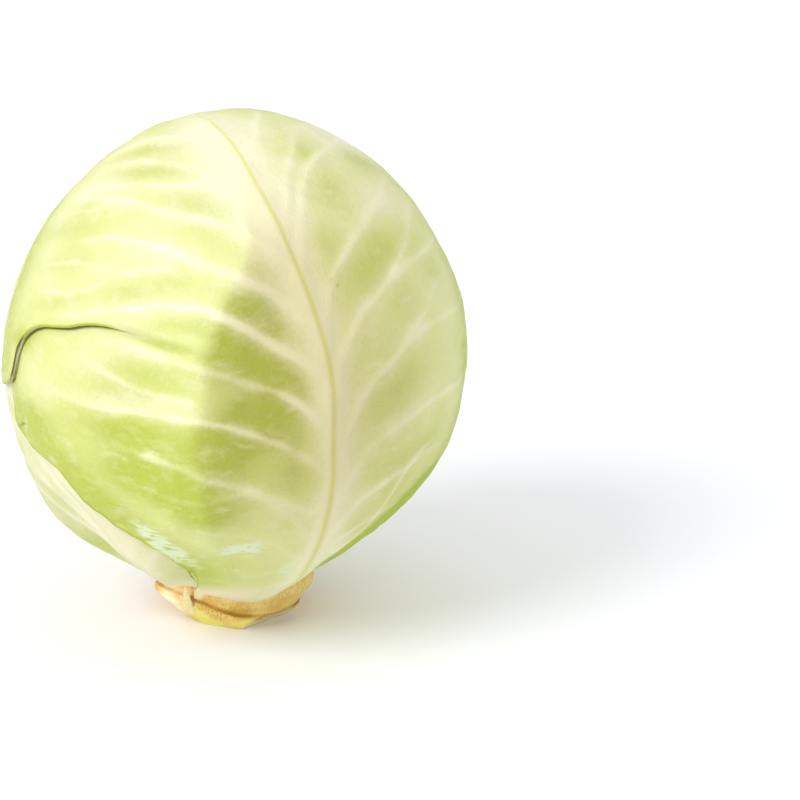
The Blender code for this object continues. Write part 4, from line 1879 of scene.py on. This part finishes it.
@dataclass(frozen=True)
class FibreNodes:
    """Geometry Nodes that set the ends of the stem's fibre bundles into its bark."""

    name: str = "FibreBundles"
    density: float = 260000.0
    length: float = 0.9 * MM
    width: float = 0.24 * MM
    seed: int = 6

    def group(self) -> bpy.types.NodeTree:
        """Build the node group with its named inputs.

        Returns:
            The node group.
        """
        kit = start_group(self.name, {"Density": "Float", "Length": "Float", "Width": "Float",
                                      "Seed": "Int"})
        source = kit.add("NodeGroupInput").outputs
        density = kit.math("MULTIPLY", kit.stored(Mark.FIBRE), source["Density"])
        spread = kit.add("GeometryNodeDistributePointsOnFaces")
        kit.feed(spread, Mesh=source["Geometry"], Seed=source["Seed"], Density=density)
        bead = kit.add("GeometryNodeMeshIcoSphere")
        kit.feed(bead, Radius=1.0, Subdivisions=1)
        size = kit.add("ShaderNodeCombineXYZ")
        thin = kit.math("MULTIPLY", source["Width"], 0.6)
        kit.feed(size, X=thin, Y=source["Width"], Z=source["Length"])
        turn = kit.add("FunctionNodeAlignRotationToVector", axis="X", pivot_axis="Z")
        kit.put(turn.inputs["Vector"], spread.outputs["Normal"])
        grow = kit.add("FunctionNodeRandomValue", data_type="FLOAT")
        floats = [socket for socket in grow.inputs if socket.type == "VALUE"]
        floats[0].default_value, floats[1].default_value = 0.5, 1.15
        scale = kit.add("ShaderNodeVectorMath", operation="SCALE")
        kit.put(scale.inputs[0], size.outputs[0])
        kit.put(scale.inputs["Scale"], grow.outputs[1])
        beads = kit.add("GeometryNodeInstanceOnPoints")
        kit.feed(beads, Points=spread.outputs["Points"], Instance=bead.outputs["Mesh"],
                 Rotation=turn.outputs[0], Scale=scale.outputs[0])
        both = kit.add("GeometryNodeJoinGeometry")
        kit.put(both.inputs[0], beads.outputs[0])
        kit.put(both.inputs[0], source["Geometry"])
        kit.finish(both.outputs[0], source["Material"])
        return kit.tree

    def apply(self, obj: bpy.types.Object, material: bpy.types.Material) -> None:
        """Run the nodes on the stump and keep the result as its mesh.

        Args:
            obj: The stump.
            material: Its material.
        """
        run_group(obj, self.group(), {
            "Density": self.density, "Length": self.length, "Width": self.width,
            "Seed": self.seed, "Material": material})


@dataclass(frozen=True)
class Remnant:
    """A sliver of a cut-off leaf stalk that stands up from the stump.

    Each spine row holds azimuth, radius, height, width and depth (degrees and millimetres).
    """

    spine: tuple[tuple[float, float, float, float, float], ...] = (
        (-46.0, 20.4, 1.6, 4.5, 1.4), (-44.0, 24.2, 5.6, 5.6, 2.2), (-38.5, 27.6, 9.8, 4.2, 2.0),
        (-34.0, 31.0, 13.8, 2.9, 1.5), (-31.0, 33.8, 17.2, 1.6, 0.9), (-29.4, 35.6, 19.6, 0.5, 0.4))
    ridge: float = 0.16
    sides: int = 14
    rings: int = 36

    def surface(self) -> tuple[Array, Array, Array, Array]:
        """Skin of the sliver.

        Returns:
            Points in millimetres, the angle of every point round the sliver in radians,
            quads, and the triangles that close its ends.
        """
        rows = np.array(self.spine)
        places = np.arange(len(rows), dtype=float)
        at = np.linspace(0.0, len(rows) - 1.0, self.rings)
        az, rad, high, wide, deep = (course(tuple(zip(places, column)), at) for column in rows.T)
        turn = np.radians(az)
        out = np.stack([np.sin(turn), -np.cos(turn), 0.0 * turn], axis=1)
        side = np.stack([np.cos(turn), np.sin(turn), 0.0 * turn], axis=1)
        middle = out * rad[:, None] + np.array([0.0, 0.0, 1.0]) * high[:, None]
        angle = np.arange(self.sides) * 2.0 * np.pi / self.sides
        ridge = 1.0 + self.ridge * np.cos(3.0 * angle)
        across = 0.5 * wide[:, None] * np.cos(angle) * ridge
        through = 0.5 * deep[:, None] * np.sin(angle) * ridge
        points = (middle[:, None] + side[:, None] * across[..., None]
                  + out[:, None] * through[..., None])
        number = np.arange(self.rings * self.sides).reshape(-1, self.sides)
        ends = []
        for ring, flip in ((number[0], True), (number[-1], False)):
            for k in range(1, self.sides - 1):
                corner = (ring[0], ring[k], ring[k + 1])
                ends.append(corner[::-1] if flip else corner)
        around = np.tile(angle, self.rings)
        return points.reshape(-1, 3), around, grid_quads(number), np.array(ends)


@dataclass
class Stump:
    """The cut stem under the head: a flared foot, leaf-scar ledges, knife cuts, a flat face.

    Heights and radii here are millimetres; azimuth 0 is the front and 90 the right.
    """

    levels: tuple[tuple[float, tuple[Point2, ...]], ...] = (
        (0.0, ((0, 22.9), (30, 20.6), (60, 19.4), (90, 18.8), (135, 19.6), (180, 19.6),
               (225, 19.6), (260, 20.2), (298, 20.4), (320, 20.2), (345, 21.8))),
        (4.5, ((0, 25.0), (30, 24.0), (60, 23.0), (90, 22.0), (135, 23.2), (180, 23.8),
               (225, 24.2), (260, 26.0), (298, 25.2), (320, 24.0), (345, 24.6))),
        (8.5, ((0, 26.2), (30, 25.8), (60, 25.4), (90, 24.8), (135, 26.4), (180, 27.2),
               (225, 27.8), (260, 30.0), (298, 29.0), (320, 27.2), (345, 26.4))),
        (12.0, ((0, 26.8), (30, 27.2), (60, 27.2), (90, 26.6), (135, 27.8), (180, 28.2),
                (225, 28.4), (260, 29.4), (298, 28.8), (320, 27.8), (345, 26.8))),
        (22.0, ((0, 24.0), (90, 23.0), (180, 24.4), (240, 25.5), (270, 26.6), (300, 26.0))),
    )
    cuts: tuple[KnifeCut, ...] = (
        KnifeCut(46.7, 15.9, 1.05, 5.2), KnifeCut(-75.0, 18.3, 1.25, 8.6),
        KnifeCut(-22.0, 19.6, 0.75, 3.8), KnifeCut(150.0, 18.2, 1.0, 6.0),
        KnifeCut(-152.0, 18.3, 0.95, 7.0))
    ledge: tuple[Point2, ...] = ((0, 6.4), (13, 5.4), (40, 4.6), (70, 4.2), (120, 6.0),
                                 (180, 8.0), (225, 9.0), (262, 8.7), (292, 12.0), (316, 12.0),
                                 (324, 11.3), (345, 8.4))
    pales: tuple[Patch, ...] = (
        Patch(-59, 7.0, 13, 4.5, 1.1), Patch(-78, 5.0, 10, 2.4, 0.5), Patch(-42, 11, 4, 6, 0.3),
        Patch(-31, 14.5, 5, 3.0, 1.0), Patch(-78, 14, 30, 2.6, 0.45),
        Patch(20, 13.5, 60, 1.6, 0.4))
    saps: tuple[Patch, ...] = (
        Patch(-26, 1.6, 15, 2.6, 1.0), Patch(4, 2.6, 14, 2.2, 1.0), Patch(-32, 5.0, 8, 3.5, 0.8),
        Patch(160, 2.4, 30, 2.0, 0.7))
    scars: tuple[Patch, ...] = (
        # Patch(4, 8.2) is painted shadow under the front leaf's foot; the others are scar marks
        Patch(-36.5, 13.4, 1.4, 3.2, 0.8), Patch(4, 8.2, 22, 1.4, 0.6),
        Patch(52, 6.0, 20, 1.2, 0.25), Patch(70, 3.2, 6, 0.6, 0.4))
    fibres: Patch = Patch(-14, 7.0, 26, 3.2)
    remnant: Remnant = Remnant()
    groove: Patch = Patch(-36.5, 13.4, 1.3, 3.6)
    groove_depth: float = 1.1
    sides: int = 480
    rows: int = 100
    top: float = 22.0
    ledge_step: float = 0.8
    ring_cut: float = 4.4

    def radius(self, azimuth: Array, height: Array) -> tuple[Array, Array]:
        """Radius of the bark.

        Args:
            azimuth: Azimuths in degrees.
            height: Heights in millimetres.

        Returns:
            The radius in millimetres and a mask of the knife cuts.
        """
        rings = np.array([course(ring, azimuth, 360.0) for _, ring in self.levels])
        marks = np.array([level for level, _ in self.levels])
        k = np.clip(np.searchsorted(marks, height, side="right") - 1, 0, len(marks) - 2)
        share = (height - marks[k]) / (marks[k + 1] - marks[k])
        rows = np.arange(len(azimuth))
        radius = rings[k, rows] * (1.0 - share) + rings[k + 1, rows] * share
        around = self.around(azimuth, height)
        wave = 0.5 * value_noise(around, 3, 0.55) + 0.3 * value_noise(around, 4, 0.22)
        radius = radius + wave * smooth(height / 1.5)
        off = (azimuth + 180.0) % 360.0 - 180.0
        above = self.over_ledge(azimuth, height)
        radius = radius - self.ledge_step * smooth(above / 0.5) * smooth((9.0 - above) / 6.0)
        radius = radius - self.groove_depth * self.groove.mask(off, height)
        limits = np.array([cut.limit(off, height) for cut in self.cuts])
        flat = limits.min(axis=0) - 0.12 * value_noise(around, 6, 0.12)
        cut = smooth((radius - flat) / 0.3)
        return np.minimum(radius, flat), cut

    @staticmethod
    def around(azimuth: Array, height: Array) -> Array:
        """Positions on a cylinder, for noise that closes round the stump."""
        turn = np.radians(azimuth)
        return np.stack([np.cos(turn), np.sin(turn), height / 14.0], axis=1)

    def over_ledge(self, azimuth: Array, height: Array) -> Array:
        """Height over the wavy leaf-scar ledge (millimetres)."""
        wave = 0.5 * value_noise(self.around(azimuth, height), 5, 0.3)
        return height - course(self.ledge, azimuth, 360.0) - wave

    def build(self, finish: StumpFinish) -> bpy.types.Object:
        """Build and dress the stump.

        Args:
            finish: Its colours and surface.

        Returns:
            The finished object.
        """
        heights = np.linspace(0.0, self.top, self.rows + 1)
        azimuths = np.arange(self.sides) * 360.0 / self.sides
        az, z = (grid.ravel() for grid in np.meshgrid(azimuths, heights))
        radius, cut = self.radius(az, z)
        strand = value_noise(self.around(az, z * 0.12), 12, 0.035)
        radius = radius + 0.10 * strand * smooth(z / 0.8) * (1.0 - 0.7 * cut)
        turn = np.radians(az)
        points = np.stack([np.sin(turn) * radius, -np.cos(turn) * radius, z], axis=1) * MM
        number = np.arange(len(points)).reshape(self.rows + 1, self.sides)
        following = np.roll(number, -1, axis=1)
        points = np.concatenate([points, [[0.0, 0.0, 0.0], [0.0, 0.0, self.top * MM]]])
        low, high = len(points) - 2, len(points) - 1
        extra, angle, walls, ends = self.remnant.surface()
        bottom = np.stack([following[0], number[0], np.full(self.sides, low)], axis=1)
        cap = np.stack([number[-1], following[-1], np.full(self.sides, high)], axis=1)
        quads = np.concatenate([grid_quads(number), walls + len(points)])
        tris = np.concatenate([bottom, cap, ends + len(points)])
        obj = make_mesh("stump", np.concatenate([points, extra * MM]), quads, tris)
        zero = np.zeros(len(extra))
        sliver = {Mark.PALE: zero + 0.5, Mark.SAP: zero + 0.4,
                  Mark.SCAR_AND_SHADOW: 0.5 * bell((angle - 0.1) / 0.4)}
        put_marks(obj, {mark: np.concatenate([row, sliver.get(mark, zero)])
                        for mark, row in self.marks(az, z, cut).items()})
        FibreNodes().apply(obj, finish.material())
        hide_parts("stump_core")
        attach(obj, BODY)
        return obj

    def marks(self, azimuth: Array, height: Array, cut: Array) -> dict[Mark, Array]:
        """Colour values of the stump.

        Args:
            azimuth: Azimuths in degrees.
            height: Heights in millimetres.
            cut: Mask of the knife cuts.

        Returns:
            Values by mark, with two more for the middles of the stump's ends.
        """
        off = (azimuth + 180.0) % 360.0 - 180.0
        rough = value_noise(self.around(azimuth, height), 9, 0.16)
        above = self.over_ledge(azimuth, height)
        line = bell((above - 0.35) / 0.8) * (0.8 + 0.5 * rough)
        ring = bell((height - self.ring_cut - 0.3 * rough) / 0.45) * smooth((off - 12.0) / 6.0)
        ring = ring * smooth((84.0 - off) / 8.0)
        scar = line + ring + sum(patch.mask(off, height) for patch in self.scars)
        pale = sum(patch.mask(off, height + 0.6 * rough) for patch in self.pales)
        sap = sum(patch.mask(off, height + 0.6 * rough) for patch in self.saps)
        strip = cut * smooth((2.0 - height) / 0.5) * (0.25 + 0.75 * smooth((off - 2.0) / 8.0))
        fibre = 0.25 + self.fibres.mask(off, height) - pale - sap
        fibre = np.clip(fibre, 0.0, 1.2) * smooth((height - 1.3) / 0.8)
        rows = {Mark.SCAR_AND_SHADOW: scar * (1.0 - 0.7 * np.clip(pale, 0, 1)), Mark.PALE: pale,
                Mark.SAP: sap, Mark.CUT: strip, Mark.FIBRE: fibre * (1.0 - strip)}
        return {mark: np.append(np.clip(row, 0.0, 1.2), [1.0 if mark is Mark.CUT else 0.0] * 2)
                for mark, row in rows.items()}


@dataclass(frozen=True)
class SoftSun:
    """A soft distant light that shines from an azimuth and elevation."""

    name: str
    azimuth: float
    elevation: float
    spread: float
    power: float

    def build(self) -> None:
        """Add the light."""
        light = bpy.data.lights.new(self.name, "SUN")
        light.angle = math.radians(self.spread)
        light.energy = self.power
        obj = bpy.data.objects.new(self.name, light)
        away = unit(self.azimuth, self.elevation)
        obj.location = away
        level = math.hypot(away[0], away[1])
        obj.rotation_euler = (math.atan2(level, away[2]), 0.0, math.atan2(away[0], -away[1]))
        bpy.context.scene.collection.objects.link(obj)


@dataclass(frozen=True)
class Studio:
    """Pale floor and surroundings, two soft lights, and the camera."""

    suns: tuple[SoftSun, ...] = (
        SoftSun("key", azimuth=-50.0, elevation=36.0, spread=34.0, power=1.64),
        SoftSun("overhead", azimuth=0.0, elevation=84.0, spread=120.0, power=1.24))
    floor_half: float = 12.0

    aim_z: float = 94.0 * MM
    distance: float = 1300.0 * MM
    elevation: float = 18.0
    lens: float = 167.2
    shift_right: float = 57.3 * MM
    shift_down: float = 15.3 * MM

    def build(self) -> None:
        """Build floor, lights, world and camera."""
        self._floor()
        for sun in self.suns:
            sun.build()
        self._world()
        bpy.context.scene.view_settings.view_transform = "Standard"
        self._camera()

    def _world(self) -> None:
        """Surround the floor with a pale wall that dims overhead."""
        world = bpy.data.worlds.new("studio")
        bpy.context.scene.world = world
        world.use_nodes = True
        kit = NodeKit(world.node_tree)
        back = world.node_tree.nodes["Background"]
        height = kit.add("ShaderNodeSeparateXYZ")
        kit.put(height.inputs[0], kit.add("ShaderNodeTexCoord").outputs["Generated"])
        kit.put(back.inputs["Color"], (1.0, 0.99, 0.97))
        kit.put(back.inputs["Strength"], kit.span(height.outputs["Z"], 0.12, 0.4, 1.0, 0.48))

    def _floor(self) -> None:
        """Add the pale floor."""
        half = self.floor_half
        points = np.array([(-half, -half, 0.0), (half, -half, 0.0),
                           (half, half, 0.0), (-half, half, 0.0)])
        floor = make_mesh("floor", points, np.array([[0, 1, 2, 3]]), np.zeros((0, 3), int))
        material, kit, shader = new_material("floor_paint")
        place = kit.add("ShaderNodeTexCoord").outputs["Object"]
        tone = kit.mix(kit.noise(place, 4.0, 2.0), (0.92, 0.935, 1.0), (0.94, 0.955, 1.0))
        kit.feed(shader, Base_Color=tone, Roughness=0.75)
        floor.data.materials.append(material)

    def _camera(self) -> None:
        """Add the camera in front of the head, looking slightly down."""
        tilt = math.radians(self.elevation)
        back = np.array([0.0, -math.cos(tilt), math.sin(tilt)])
        upward = np.array([0.0, math.sin(tilt), math.cos(tilt)])
        place = np.array([self.shift_right, 0.0, self.aim_z]) - upward * self.shift_down
        place = place + back * self.distance
        camera = bpy.data.cameras.new("camera")
        camera.lens = self.lens
        camera.sensor_width = 36.0
        camera.clip_start = 0.01
        obj = bpy.data.objects.new("camera", camera)
        obj.location = place
        obj.rotation_euler = (math.pi / 2.0 - tilt, 0.0, 0.0)
        bpy.context.scene.collection.objects.link(obj)
        bpy.context.scene.camera = obj


def dress_inner_nodes() -> int:
    """Give the CAD nodes that stay a procedural material.

    Returns:
        How many nodes were dressed.
    """
    inner = InnerFinish("inner_leaf_tissue").material()
    heart = InnerFinish("heart_tissue", linear(238, 232, 176), linear(226, 212, 128)).material()
    count = 0
    for name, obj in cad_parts.items():
        if name.endswith("_inner") or name == "heart_bud":
            obj.material_slots[0].material = heart if name == "heart_bud" else inner
            count += 1
    return count


def main() -> None:
    logging.basicConfig(level=logging.INFO, format="%(name)s: %(message)s")
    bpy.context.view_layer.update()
    form = HeadForm()
    leaves = [front_leaf(), *back_leaves(), *under_leaves()]
    for index, leaf in enumerate(leaves):
        obj = leaf.build(form, leaves[:index])
        LOG.info("%s: %d faces", leaf.name, len(obj.data.polygons))
    stump = Stump().build(StumpFinish("stump_bark"))
    LOG.info("stump: %d faces", len(stump.data.polygons))
    LOG.info("inner nodes dressed: %d", dress_inner_nodes())
    Studio().build()
    LOG.info("studio built")


if __name__ == "__main__":
    main()
